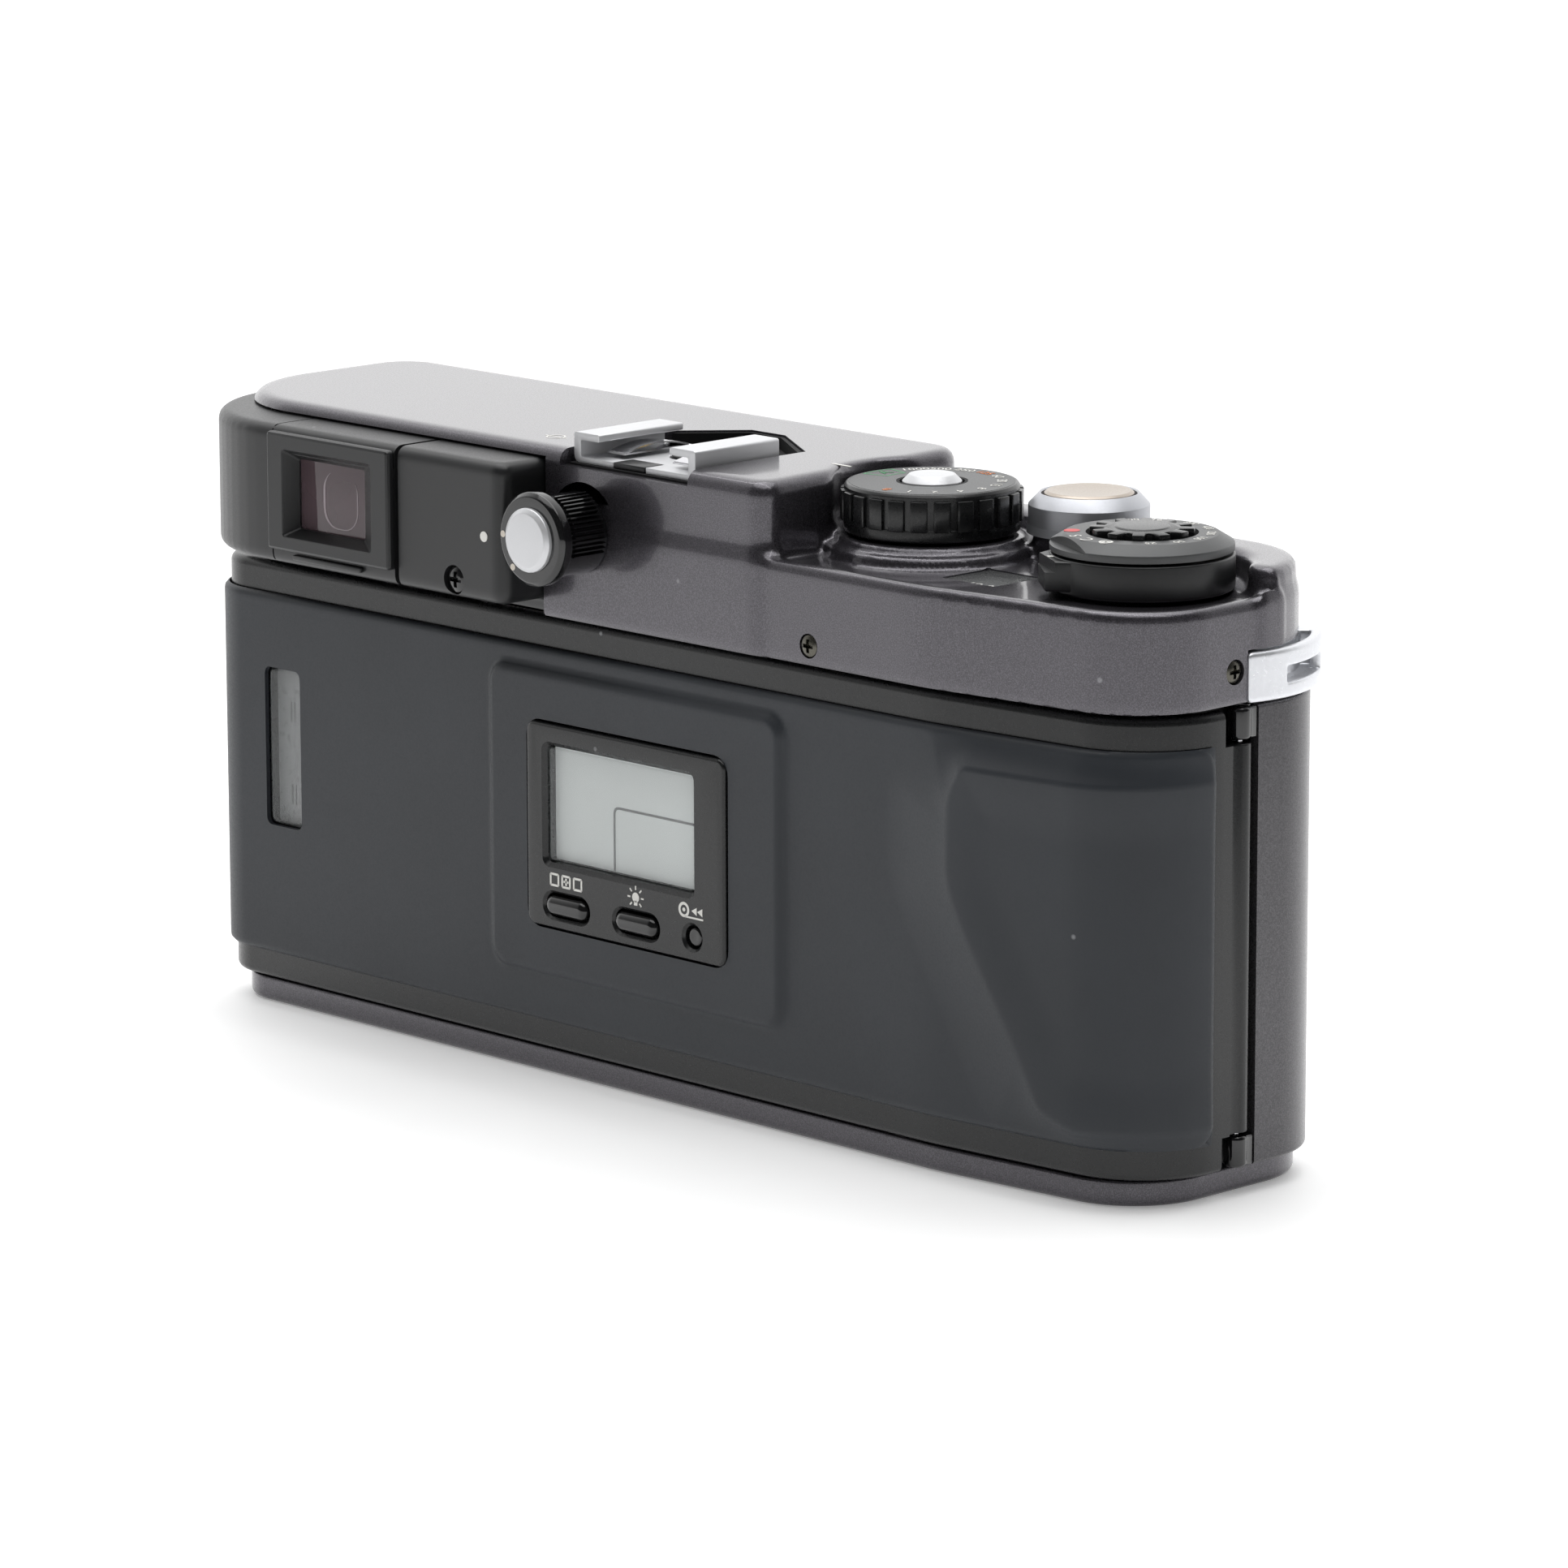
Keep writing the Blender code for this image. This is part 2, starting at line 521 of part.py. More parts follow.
def build_viewfinder():
    """The black eyepiece block behind the hump, its bezel, its glass and front windows."""
    outer = corners_to_points([(FINDER_END, 27.2, 1.6), (81.4, 27.2, 20.0), (81.4, 2.0), (FINDER_END, 2.0)])
    housing = extruded("viewfinder_housing", [outer], 60.9, FINDER_TOP)
    soften(housing, UP, 1.2)
    soften(housing, DOWN, 1.2)
    skirt = extruded("finder_skirt", [
        [(FINDER_END, 18.6)] + ring_points(17.9, 7, FINDER_CORNER, 90.0, 20.0)
        + ring_points(18.6, 7, FINDER_CORNER, 20.0, 90.0) + [(FINDER_END, 19.3)]], 59.2, 64.0)
    join(housing, skirt)
    inner = extruded("finder_inner", [
        ring_points(17.9, 9, FINDER_CORNER, 90.0, 0.0) + [(81.1, -5.0), (10.0, -5.0), (10.0, 18.6)]],
        50.0, 90.0)
    pocket = block("eyepiece_pocket", (37.6, 21.0, 63.0), (56.6, 40.0, 75.6))
    front_trim = block("finder_front_trim", (70.0, -5.0, 50.0), (90.0, 6.4, 90.0))
    cut(housing, inner, pocket, front_trim)
    to_part(housing, BLACK_PLASTIC)

    opening = [(39.0, 64.4), (55.2, 64.4), (55.2, 74.4), (39.0, 74.4)]
    bezel = extruded("eyepiece_bezel", [
        corners_to_points([(35.0, 62.9, 0.6), (58.2, 62.9, 0.6), (58.2, 77.9, 0.6), (35.0, 77.9, 0.6)], 2),
        opening], 27.5, 28.3, "Y")
    sleeve = extruded("bezel_sleeve", [
        [(38.0, 63.4), (56.2, 63.4), (56.2, 75.2), (38.0, 75.2)], opening], 25.4, 27.9, "Y")
    join(bezel, sleeve)
    to_part(bezel, BLACK_PLASTIC)
    to_part(block("eyepiece_glass", (38.0, 23.6, 63.4), (56.2, 24.8, 75.2)), GLASS)

    for name, low, high in (
            ("viewfinder_window", (38.3, -16.2, 64.3), (57.7, -15.0, 75.7)),
            ("illumination_window", (16.8, -16.2, 66.3), (29.2, -15.0, 74.7)),
            ("rangefinder_window", (-5.7, -16.2, 66.3), (2.7, -15.0, 72.7))):
        to_part(block(name, low, high), GLASS)
    prism = extruded("beam_splitter_prism", [[(36.0, -11.0), (60.0, -11.0), (60.0, 10.0), (48.0, 14.0),
                                              (36.0, 10.0)]], 64.4, 75.2)
    to_part(prism, GLASS)


# ---------------------------------------------------------------- lens mount and shutter


def build_lens_mount():
    """Steel bayonet ring whose bore has three deeper gaps for the lens's tabs."""
    bore = []
    for tab in range(3):
        middle = 90.0 + 120.0 * tab
        bore += ring_points(22.4, 6, (OPTICAL_X, OPTICAL_Z), middle - 32.0, middle + 32.0)
        bore += ring_points(23.9, 5, (OPTICAL_X, OPTICAL_Z), middle + 34.0, middle + 86.0)
    rim = ring_points(MOUNT_RADIUS, 40, (OPTICAL_X, OPTICAL_Z))
    ring = extruded("lens_mount_ring", [rim, bore], FLANGE_Y, -19.2, "Y")
    pin_hole = rod("mount_pin_hole", (25.6, 26.0), 0.9, -25.0, -15.0, "Y", 10)
    cut(ring, pin_hole)
    for turn in (45.0, 135.0, 225.0, 315.0):
        x = OPTICAL_X + 25.1 * math.cos(math.radians(turn))
        z = OPTICAL_Z + 25.1 * math.sin(math.radians(turn))
        cut(ring, rod("mount_screw_%d" % turn, (x, z), 0.9, -25.0, -20.3, "Y", 10))
    to_part(ring, STEEL)

    liner = turned("mount_throat", [(23.8, -9.0), (23.8, -18.9), (22.3, -18.9), (21.2, -9.0)],
                   (OPTICAL_X, OPTICAL_Z), 32, "Y")
    contact_seat = block("contact_seat", (OPTICAL_X - 9.5, -20.0, 6.0), (OPTICAL_X + 9.5, -14.0, 11.6))
    cut(liner, contact_seat)
    to_part(liner, BLACK_METAL)

    strip = block("lens_contacts", (OPTICAL_X - 8.0, -18.6, 9.9), (OPTICAL_X + 8.0, -14.4, 11.3))
    for step in range(5):
        x = OPTICAL_X + (step - 2) * 3.0
        join(strip, rod("contact_%d" % step, (x, 10.6), 0.55, -19.0, -18.0, "Y", 10))
    to_part(strip, BRASS)

    pin = turned("lens_release_button", [(0.0, -10.6), (1.4, -10.6), (1.4, -12.0), (2.5, -12.0),
                                         (2.5, -17.0), (0.0, -17.0)], LENS_BUTTON, 20, "Y")
    to_part(move_origin(pin, (LENS_BUTTON[0], -13.0, LENS_BUTTON[1])), SATIN_SILVER)


def build_shutter():
    plate = extruded("shutter_frame", [
        [(-32.9, 16.0), (35.5, 16.0), (35.5, 46.0), (-32.9, 46.0)],
        [(-31.9, 18.8), (33.4, 18.8), (33.4, 43.2), (-31.9, 43.2)]], 10.0, 10.8, "Y")
    to_part(plate, BLACK_METAL)
    for index, low in enumerate((34.4, 26.2, 18.0)):
        y = 8.4 - 1.2 * index
        blade = block("shutter_blade_%d" % (index + 1), (-32.6, y, low), (35.2, y + 0.3, low + 9.2))
        to_part(move_origin(blade, (OPTICAL_X, y, low)), BLACK_METAL)
    lever = block("rangefinder_lever", (OPTICAL_X - 1.6, -8.4, 47.6), (OPTICAL_X + 1.6, -6.6, 54.2))
    join(lever, rod("lever_roller", (-7.5, 47.8), 1.7, OPTICAL_X - 1.2, OPTICAL_X + 1.2, "X", 16))
    to_part(move_origin(lever, (OPTICAL_X, -7.5, 53.4)), STEEL)


# ---------------------------------------------------------------- film transport and power


def gear_outline(radius, teeth, tooth):
    points = []
    for index in range(teeth):
        for share, reach in ((0.0, radius - tooth), (0.25, radius), (0.5, radius), (0.75, radius - tooth)):
            angle = 2 * math.pi * (index + share) / teeth
            points.append(Vector((reach * math.cos(angle), reach * math.sin(angle))))
    return points


def gear(name, centre, radius, teeth, tooth, low, high):
    place = Vector(centre)
    return extruded(name, [[point + place for point in gear_outline(radius, teeth, tooth)]], low, high)


def build_transport():
    x, y, _ = TAKE_UP
    spool = turned("take_up_spool", [
        (0.0, 59.6), (1.7, 59.6), (1.7, 56.2), (10.0, 56.2), (10.0, 55.2), (6.4, 55.2), (6.4, 9.0),
        (10.0, 9.0), (10.0, 8.0), (0.0, 8.0)], (x, y), 18)
    film_slot = block("spool_slot", (x - 0.6, y + 2.0, 24.0), (x + 0.6, y + 9.0, 38.0))
    cut(spool, film_slot)
    join(spool, gear("spool_gear", (x, y), 6.0, 12, 1.2, 59.1, 60.6))
    to_part(move_origin(spool, (x, y, 32.0)), BLACK_PLASTIC)

    x, y, _ = SPROCKET
    drum = turned("film_sprocket", [
        (0.0, 58.0), (1.5, 58.0), (1.5, 52.0), (5.2, 52.0), (5.2, 48.0), (4.2, 47.0), (4.2, 15.0),
        (5.2, 14.0), (5.2, 10.0), (0.0, 10.0)], (x, y), 16)
    for z in (16.9, 45.1):
        join(drum, gear("sprocket_teeth_%d" % z, (x, y), 6.05, 8, 1.3, z - 0.7, z + 0.7))
    to_part(move_origin(drum, (x, y, 31.0)), BLACK_METAL)

    x, y, _ = CASSETTE
    fork = turned("rewind_fork", [(0.0, 59.6), (2.6, 59.6), (2.6, 55.4), (4.6, 55.4), (4.6, 54.6),
                                  (2.2, 54.6), (2.2, 50.0), (0.0, 50.0)], (x, y), 14)
    join(fork, gear("fork_gear", (x, y), 7.0, 14, 1.2, 59.1, 60.6),
         block("fork_blade", (x - 3.3, y - 0.5, 50.6), (x + 3.3, y + 0.5, 55.0)))
    to_part(move_origin(fork, (x, y, 55.0)), STEEL)

    motor = rod("drive_motor", (-9.5, 64.6), 3.6, -68.0, -48.0, "X", 20)
    to_part(motor, STEEL)
    for index, low in enumerate((4.6, 32.2)):
        cell = turned("battery_cell_%d" % (index + 1), [
            (0.0, low + 27.0), (3.2, low + 27.0), (3.2, low + 25.8), (7.5, low + 25.8), (7.5, low + 0.2),
            (6.9, low), (0.0, low)], CELL[:2], 24)
        to_part(cell, LABEL)
    cap = turned("battery_cover", [(0.0, 4.2), (7.4, 4.2), (7.4, 2.2), (8.6, 2.2), (8.6, 0.3), (0.0, 0.3)],
                 CELL[:2], 32)
    cut(cap, block("coin_slot", (CELL[0] - 6.0, CELL[1] - 0.9, -1.0), (CELL[0] + 6.0, CELL[1] + 0.9, 1.3)))
    to_part(move_origin(cap, (CELL[0], CELL[1], 2.0)), BLACK_METAL)


def build_sockets():
    bush = turned("tripod_socket", [(3.2, 6.0), (4.7, 6.0), (4.7, 0.1), (3.2, 0.1)],
                  TRIPOD, 24)
    to_part(bush, STEEL)
    for name, z, bore in (("sync_socket", 50.0, 1.5), ("cable_release_socket", 24.0, 1.2)):
        tube = extruded(name, [ring_points(2.4, 16, (SOCKET_Y, z)), ring_points(bore, 12, (SOCKET_Y, z))],
                        80.3, 82.3, "X")
        to_part(tube, STEEL)
    board = block("circuit_board", (-36.0, -9.0, 61.0), (14.0, 9.0, 62.0))
    join(board, block("main_chip", (-24.0, -4.0, 61.5), (-15.0, 4.0, 63.6)),
         block("metering_chip", (-4.0, -3.0, 61.5), (3.0, 4.0, 63.0)))
    to_part(board, CIRCUIT)


# ---------------------------------------------------------------- back door


def build_door():
    door = extruded("back_door", [body_plan()], BODY_BOTTOM, BODY_TOP)
    soften(door, UP, 0.6, 1)
    hollow = extruded("door_hollow", [body_plan(SHEET)], -1.0, 70.0)
    open_front = extruded("door_open_front", [[
        (-95.0, DOOR_SPLIT_RIGHT), (-60.0, DOOR_SPLIT_RIGHT), (-60.0, DOOR_SPLIT_LEFT),
        (95.0, DOOR_SPLIT_LEFT), (95.0, -40.0), (-95.0, -40.0)]], -1.0, 70.0)
    cut(door, hollow, open_front)
    low, high = 7.8, 54.2
    barrel = rod("door_barrel", (HINGE_X, HINGE_Y), HINGE_RADIUS, low, high, sides=16)
    web = block("door_barrel_web", (-82.9, 0.4, low), (-81.6, 3.2, high))
    join(door, barrel, web)
    bore = rod("door_pin_bore", (HINGE_X, HINGE_Y), PIN_RADIUS + GAP, 0.0, 70.0, sides=12)
    for label, z in (("upper", 56.5), ("lower", 5.4)):
        relief = block("knuckle_relief_" + label, (-90.0, -5.0, z - 2.3), (-80.0, 3.4, z + 2.3))
        cut(door, relief)
    lcd_hole = block("lcd_hole", (-12.2, 10.0, 27.2), (16.2, 40.0, 43.4))
    film_hole = block("film_hole", (63.0, 10.0, 24.4), (69.6, 40.0, 44.9))
    cut(door, bore, lcd_hole, film_hole)
    catch = block("catch_lip", (78.4, 8.6, 41.2), (81.4, 10.8, 44.6))
    join(door, catch)
    to_part(move_origin(door, (HINGE_X, HINGE_Y, 31.0)), BLACK_METAL)

    pin = rod("hinge_pin", (HINGE_X, HINGE_Y), PIN_RADIUS, 5.0, 57.2, sides=12)
    to_part(pin, STEEL)


def build_door_rubber():
    """The thick rubber skin with its raised display pad and thumb rest."""
    skin = extruded("door_rubber", [body_plan(-GAP - 0.5)], 7.3, 54.6)
    inner = extruded("rubber_inner", [body_plan(-GAP)], 0.0, 70.0)
    front = block("rubber_front", (-95.0, -60.0, 0.0), (95.0, 10.4, 70.0))
    right = block("rubber_right", (-95.0, -60.0, 0.0), (-79.0, 60.0, 70.0))
    cut(skin, inner, front, right)
    pad = extruded("display_pad", [corners_to_points([
        (-26.6, 13.0, 3.0), (26.5, 13.0, 3.0), (26.5, 52.4, 3.0), (-26.6, 52.4, 3.0)], 3)], 18.9, 20.0, "Y")
    soften(pad, BACKWARD, 0.7, 1)
    rest = extruded("thumb_rest", [corners_to_points([
        (-78.0, 9.0, 3.0), (-60.0, 9.0, 6.0), (-52.0, 30.0, 10.0), (-52.0, 50.6, 4.0),
        (-70.0, 50.6, 4.0), (-77.0, 30.0, 8.0)], 3)], 16.5, 21.0, "Y")
    soften(rest, BACKWARD, 1.8)
    keep_inside = extruded("rest_back", [body_plan(-GAP)], 0.0, 70.0)
    cut(rest, keep_inside)
    join(skin, pad, rest)
    bezel_hole = extruded("bezel_hole", [corners_to_points([
        (-17.3, 19.5, 2.6), (18.8, 19.5, 2.6), (18.8, 45.8, 2.6), (-17.3, 45.8, 2.6)], 3)], 10.0, 40.0, "Y")
    window_hole = block("window_hole", (62.6, 10.0, 24.0), (70.0, 40.0, 45.3))
    cut(skin, bezel_hole, window_hole)
    to_part(skin, RUBBER)
    to_part(block("film_window", (63.3, 17.6, 24.7), (69.3, 18.9, 44.6)), GLASS)


def pill(name, centre_x, half_length, half_height, low, high):
    radius = half_height * 0.98
    outline = corners_to_points([
        (centre_x - half_length, KEY_ROW - half_height, radius),
        (centre_x + half_length, KEY_ROW - half_height, radius),
        (centre_x + half_length, KEY_ROW + half_height, radius),
        (centre_x - half_length, KEY_ROW + half_height, radius)], 4)
    return extruded(name, [outline], low, high, "Y")


def build_display():
    bezel = extruded("lcd_bezel", [corners_to_points([
        (-17.0, 19.8, 2.4), (18.5, 19.8, 2.4), (18.5, 45.5, 2.4), (-17.0, 45.5, 2.4)], 3)], 18.7, 20.6, "Y")
    soften(bezel, BACKWARD, 0.5, 1)
    window = block("lcd_window_hole", (-11.2, 10.0, 28.0), (15.1, 40.0, 42.7))
    cut(bezel, window)
    for label, x, half in (("aeb", 11.3, 3.5), ("light", -1.3, 3.5)):
        cut(bezel, pill(label + "_hole", x, half + GAP, 1.7 + GAP, 10.0, 40.0))
        button = pill(label + "_button", x, half, 1.7, 19.2, 21.0)
        to_part(move_origin(button, (x, 19.2, KEY_ROW)), BLACK_PLASTIC)
    rewind_place = (-11.3, KEY_ROW)
    cut(bezel, rod("rewind_hole", rewind_place, 1.5, 10.0, 40.0, "Y", 16))
    to_part(bezel, BLACK_PLASTIC)
    rewind = rod("rewind_button", rewind_place, 1.2, 19.2, 20.3, "Y", 16)
    to_part(move_origin(rewind, (-11.3, 19.2, KEY_ROW)), SATIN_SILVER)
    to_part(block("lcd_glass", (-10.9, 19.2, 28.3), (14.8, 20.0, 42.4)), GLASS)

    plate = block("pressure_plate", (-34.0, 13.7, 16.4), (35.5, 14.8, 45.6))
    to_part(move_origin(plate, (OPTICAL_X, 13.7, 31.0)), BLACK_METAL)


def build_latch():
    latch = block("door_latch", (82.4, -4.6, 34.8), (83.3, 2.4, 46.0))
    stem = block("latch_stem", (77.0, -2.7, 39.2), (82.8, 0.5, 46.0))
    bar = block("latch_bar", (76.2, -2.7, 39.2), (77.9, 11.0, 41.0))
    hook = block("latch_hook", (76.2, 9.0, 38.6), (80.4, 11.0, 40.6))
    join(latch, stem, bar, hook)
    to_part(move_origin(latch, (82.8, -1.1, 40.4)), BLACK_METAL)


# ---------------------------------------------------------------- controls on the top


def build_shoe():
    """Accessory shoe bent from sheet, its leaf spring and the sync contact."""
    wall, top, base = 1.2, 82.0, 78.3
    profile = [(-10.0, base), (11.5, base), (11.5, top), (7.0, top), (7.0, top - 0.9),
               (11.5 - wall, top - 0.9), (11.5 - wall, base + 0.7), (-10.0 + wall, base + 0.7),
               (-10.0 + wall, top - 0.9), (-5.5, top - 0.9), (-5.5, top), (-10.0, top)]
    shoe = extruded("accessory_shoe", [profile], 4.4, 18.4, "Y")
    contact_hole = rod("shoe_contact_hole", SHOE_CONTACT, 2.6, 70.0, 80.0, sides=20)
    cut(shoe, contact_hole)
    to_part(shoe, STEEL)
    leaf = extruded("shoe_spring", [[(-8.4, 5.2), (9.9, 5.2), (9.9, 6.4), (8.0, 6.4), (8.0, 16.0),
                                     (5.0, 16.0), (5.0, 6.4), (-3.5, 6.4), (-3.5, 16.0), (-6.5, 16.0),
                                     (-6.5, 6.4), (-8.4, 6.4)]], 79.5, 79.8)
    to_part(leaf, STEEL)
    contact = turned("hot_contact", [(0.0, 79.6), (1.1, 79.6), (1.4, 79.3), (2.3, 79.3), (2.3, 78.4),
                                     (0.0, 78.4)], SHOE_CONTACT, 20)
    to_part(contact, BLACK_PLASTIC)


def build_speed_dial():
    x, y = SPEED_DIAL
    dial = turned("shutter_speed_dial", [
        (0.0, 77.0), (4.0, 77.0), (4.0, 79.0), (10.2, 79.0), (10.5, 78.6), (10.5, 73.1), (2.2, 73.1),
        (2.2, 66.0), (0.0, 66.0)], (x, y), 24)
    ribs = 24
    outline = []
    for index in range(ribs):
        for share, reach in ((0.02, 10.6), (0.10, 11.0), (0.72, 11.0), (0.80, 10.6)):
            angle = 2 * math.pi * (index + share) / ribs
            outline.append((x + reach * math.cos(angle), y + reach * math.sin(angle)))
    join(dial, extruded("dial_ribs", [outline], 74.6, 78.2))
    cut(dial, rod("dial_bore", (x, y), 4.0, 77.0, 90.0))
    to_part(move_origin(dial, (x, y, 76.0)), BLACK_METAL)
    lock = turned("dial_lock_button", [(0.0, 80.2), (2.9, 80.2), (3.6, 79.4), (3.6, 78.1), (0.0, 78.1)],
                  (x, y), 28)
    to_part(move_origin(lock, (x, y, 78.1)), SATIN_SILVER)


def build_release():
    collar = turned("shutter_collar", [(5.8, 78.0), (6.2, 78.3), (6.9, 78.0), (7.3, 77.2), (7.3, 74.5),
                                       (5.8, 74.5)], RELEASE, 24)
    to_part(collar, SATIN_SILVER)
    button = turned("shutter_button", [(0.0, 78.7), (3.6, 78.8), (5.1, 79.0), (5.5, 78.7), (5.5, 75.8),
                                       (2.4, 75.8), (2.4, 70.5), (0.0, 70.5)], RELEASE, 24)
    to_part(move_origin(button, (*RELEASE, 75.8)), CHAMPAGNE)


def build_mode_dial():
    x, y = MODE_DIAL
    lever = turned("drive_lever", [(5.9, 75.0), (10.9, 75.0), (10.9, 70.7), (5.9, 70.7)], (x, y), 28)
    tab = extruded("lever_tab", [[
        (x + reach * math.cos(math.radians(turn)), y + reach * math.sin(math.radians(turn)))
        for reach, turn in ((10.0, 20.0), (12.1, 46.0), (13.1, 74.0), (10.0, 90.0))]], 71.4, 74.8)
    join(lever, tab)
    to_part(move_origin(lever, (x, y, 73.0)), BLACK_METAL)
    plate = turned("mode_plate", [(2.4, 76.5), (6.5, 76.5), (6.5, 77.3), (8.6, 77.3), (10.8, 76.3),
                                  (10.8, 75.3), (5.5, 75.3), (5.5, 70.7), (2.4, 70.7)], (x, y), 28)
    to_part(plate, BLACK_METAL)
    lobes = 12
    outline = []
    for index in range(lobes):
        for share, reach in ((0.05, 4.7), (0.2, 6.2), (0.6, 6.2), (0.75, 4.7)):
            angle = 2 * math.pi * (index + share) / lobes
            outline.append((x + reach * math.cos(angle), y + reach * math.sin(angle)))
    knob = extruded("film_speed_knob", [outline], 76.8, 78.0)
    join(knob, rod("knob_shaft", (x, y), 2.0, 71.2, 77.2, sides=16))
    to_part(move_origin(knob, (x, y, 78.0)), BLACK_METAL)


def build_counter_and_knob():
    to_part(block("frame_counter_window", (-53.2, 3.7, 68.7), (-45.2, 11.3, 69.9)), GLASS)
    x, z = FORMAT_KNOB
    knob = turned("format_knob", [(0.0, 29.9), (3.6, 29.9), (3.95, 29.5), (4.0, 29.0), (5.2, 29.0),
                                  (5.8, 28.4), (5.8, 27.2), (5.0, 26.6), (5.0, 20.7), (2.0, 20.7),
                                  (2.0, 17.0), (0.0, 17.0)], (x, z), 20, "Y")
    ribs = 16
    outline = []
    for index in range(ribs):
        for share, reach in ((0.0, 5.2), (0.25, 5.6), (0.5, 5.6), (0.75, 5.2)):
            angle = 2 * math.pi * (index + share) / ribs
            outline.append((x + reach * math.cos(angle), z + reach * math.sin(angle)))
    join(knob, extruded("knob_ribs", [outline], 21.6, 26.9, "Y"))
    to_part(move_origin(knob, (x, 25.0, z)), BLACK_METAL)


def build_lugs():
    for side, name in ((-1, "strap_lug_right"), (1, "strap_lug_left")):
        lug = extruded(name, [lug_sector(side, 13.3, LUG[2])], LUG_LOW, LUG_HIGH)
        slot = extruded(name + "_slot", [lug_sector(side, 14.4, 15.8, 172.0, 222.0)], LUG_LOW + 2.0, 80.0)
        window = extruded(name + "_window", [lug_sector(side, 15.1, 19.0, 184.0, 214.0)],
                          LUG_LOW + 1.5, LUG_LOW + 3.5)
        cut(lug, slot, window)
        to_part(lug, SATIN_SILVER)


def build_screws():
    """Cross-head screws in the top cover's back wall and in its right end wall."""
    arm, half_slot, slot_depth, length = 0.75, 0.18, 0.5, 5.9
    x, z = BACK_SCREW
    head = COVER_BACK + 0.2
    back_screw = rod("cover_screw_1", BACK_SCREW, SCREW_RADIUS, head - length, head, "Y", 16)
    for label, wide, tall in (("across", arm, half_slot), ("upright", half_slot, arm)):
        cut(back_screw, block("cover_screw_1_" + label, (x - wide, head - slot_depth, z - tall),
                              (x + wide, head + 1.0, z + tall)))
    to_part(back_screw, BLACK_METAL)

    y, z = END_SCREW
    head = END_WALL + 0.1
    end_screw = rod("cover_screw_2", END_SCREW, SCREW_RADIUS, head, head + length, "X", 16)
    for label, wide, tall in (("across", arm, half_slot), ("upright", half_slot, arm)):
        cut(end_screw, block("cover_screw_2_" + label, (head - 1.0, y - wide, z - tall),
                             (head + slot_depth, y + wide, z + tall)))
    to_part(end_screw, BLACK_METAL)


for build in (build_main_frame, build_front_cover, build_front_skins, build_bottom_plate,
              build_top_cover, build_viewfinder, build_lens_mount, build_shutter, build_transport,
              build_sockets, build_door, build_door_rubber, build_display, build_latch, build_shoe,
              build_speed_dial, build_release, build_mode_dial, build_counter_and_knob,
              build_lugs, build_screws):
    build()
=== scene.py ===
"""The looks of the rangefinder camera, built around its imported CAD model.

Frame: +X is the photographer's left (the viewfinder end), +Y is the back (the film
door), +Z is up.  Sizes below are millimetres; MM turns them into Blender's metres.
"""
import math

import bmesh
import bpy
import numpy as np
from mathutils import Matrix, Vector


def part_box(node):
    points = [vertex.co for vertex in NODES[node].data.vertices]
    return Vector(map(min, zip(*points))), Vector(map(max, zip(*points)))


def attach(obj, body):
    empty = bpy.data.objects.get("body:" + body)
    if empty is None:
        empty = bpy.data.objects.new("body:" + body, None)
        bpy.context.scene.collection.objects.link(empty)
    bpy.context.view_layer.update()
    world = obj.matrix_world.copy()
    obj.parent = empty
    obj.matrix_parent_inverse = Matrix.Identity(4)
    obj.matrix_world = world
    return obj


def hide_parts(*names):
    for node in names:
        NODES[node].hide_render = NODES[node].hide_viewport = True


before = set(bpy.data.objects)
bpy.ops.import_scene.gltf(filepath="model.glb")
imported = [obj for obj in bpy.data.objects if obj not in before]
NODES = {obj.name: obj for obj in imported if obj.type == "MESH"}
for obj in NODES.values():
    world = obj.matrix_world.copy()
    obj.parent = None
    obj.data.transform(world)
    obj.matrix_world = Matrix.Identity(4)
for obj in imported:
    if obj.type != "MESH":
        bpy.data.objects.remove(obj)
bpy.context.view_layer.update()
MM = 0.001
UP = Vector((0, 0, 1))


def node_box(name):
    """The low and high corners of a CAD node, in millimetres."""
    low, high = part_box(name)
    return Vector(low) / MM, Vector(high) / MM


# ---------------------------------------------------------------- sizes from the frame

COVER_LOW, COVER_HIGH = node_box("top_cover")
DOOR_LOW, DOOR_HIGH = node_box("back_door")
BASE_LOW, BASE_HIGH = node_box("bottom_plate")
HOUSING_LOW, HOUSING_HIGH = node_box("viewfinder_housing")
RING_LOW, RING_HIGH = node_box("lens_mount_ring")


def middle_of(name, axes):
    """The middle of a CAD node, as the coordinates that axes names."""
    low, high = node_box(name)
    return tuple(getattr((low + high) / 2, axis) for axis in axes)


COVER_BACK = COVER_HIGH.y
COVER_FRONT = -16.4
COVER_BOTTOM = COVER_LOW.z
HUMP_TOP = COVER_HIGH.z
DECK_TOP = 70.3
DECK_RIM = 71.0
SHOULDER_TOP = 74.2
DOOR_BACK = 18.4
FRONT = -13.0
GRIP_FRONT = -18.5
LEFT_END, RIGHT_END = 81.9, -83.0
END_RADIUS = 12.0
SHEET = 1.3
GAP = 0.3
BODY_BOTTOM, BODY_TOP = DOOR_LOW.z, DOOR_HIGH.z
HINGE = (-81.8, -0.2)
HINGE_RADIUS = 1.4
OPTICAL = ((RING_LOW.x + RING_HIGH.x) / 2, (RING_LOW.z + RING_HIGH.z) / 2)
FLANGE_Y = RING_LOW.y
MOUNT_RADIUS = (RING_HIGH.x - RING_LOW.x) / 2
SPEED_DIAL = middle_of("dial_lock_button", "xy")
MODE_DIAL = middle_of("mode_plate", "xy")
RELEASE = middle_of("shutter_button", "xy")
KNOB = middle_of("format_knob", "xz")
LUG = (67.0, -5.0, 17.2)
LUG_LOW, LUG_HIGH = (corner.z for corner in node_box("strap_lug_right"))
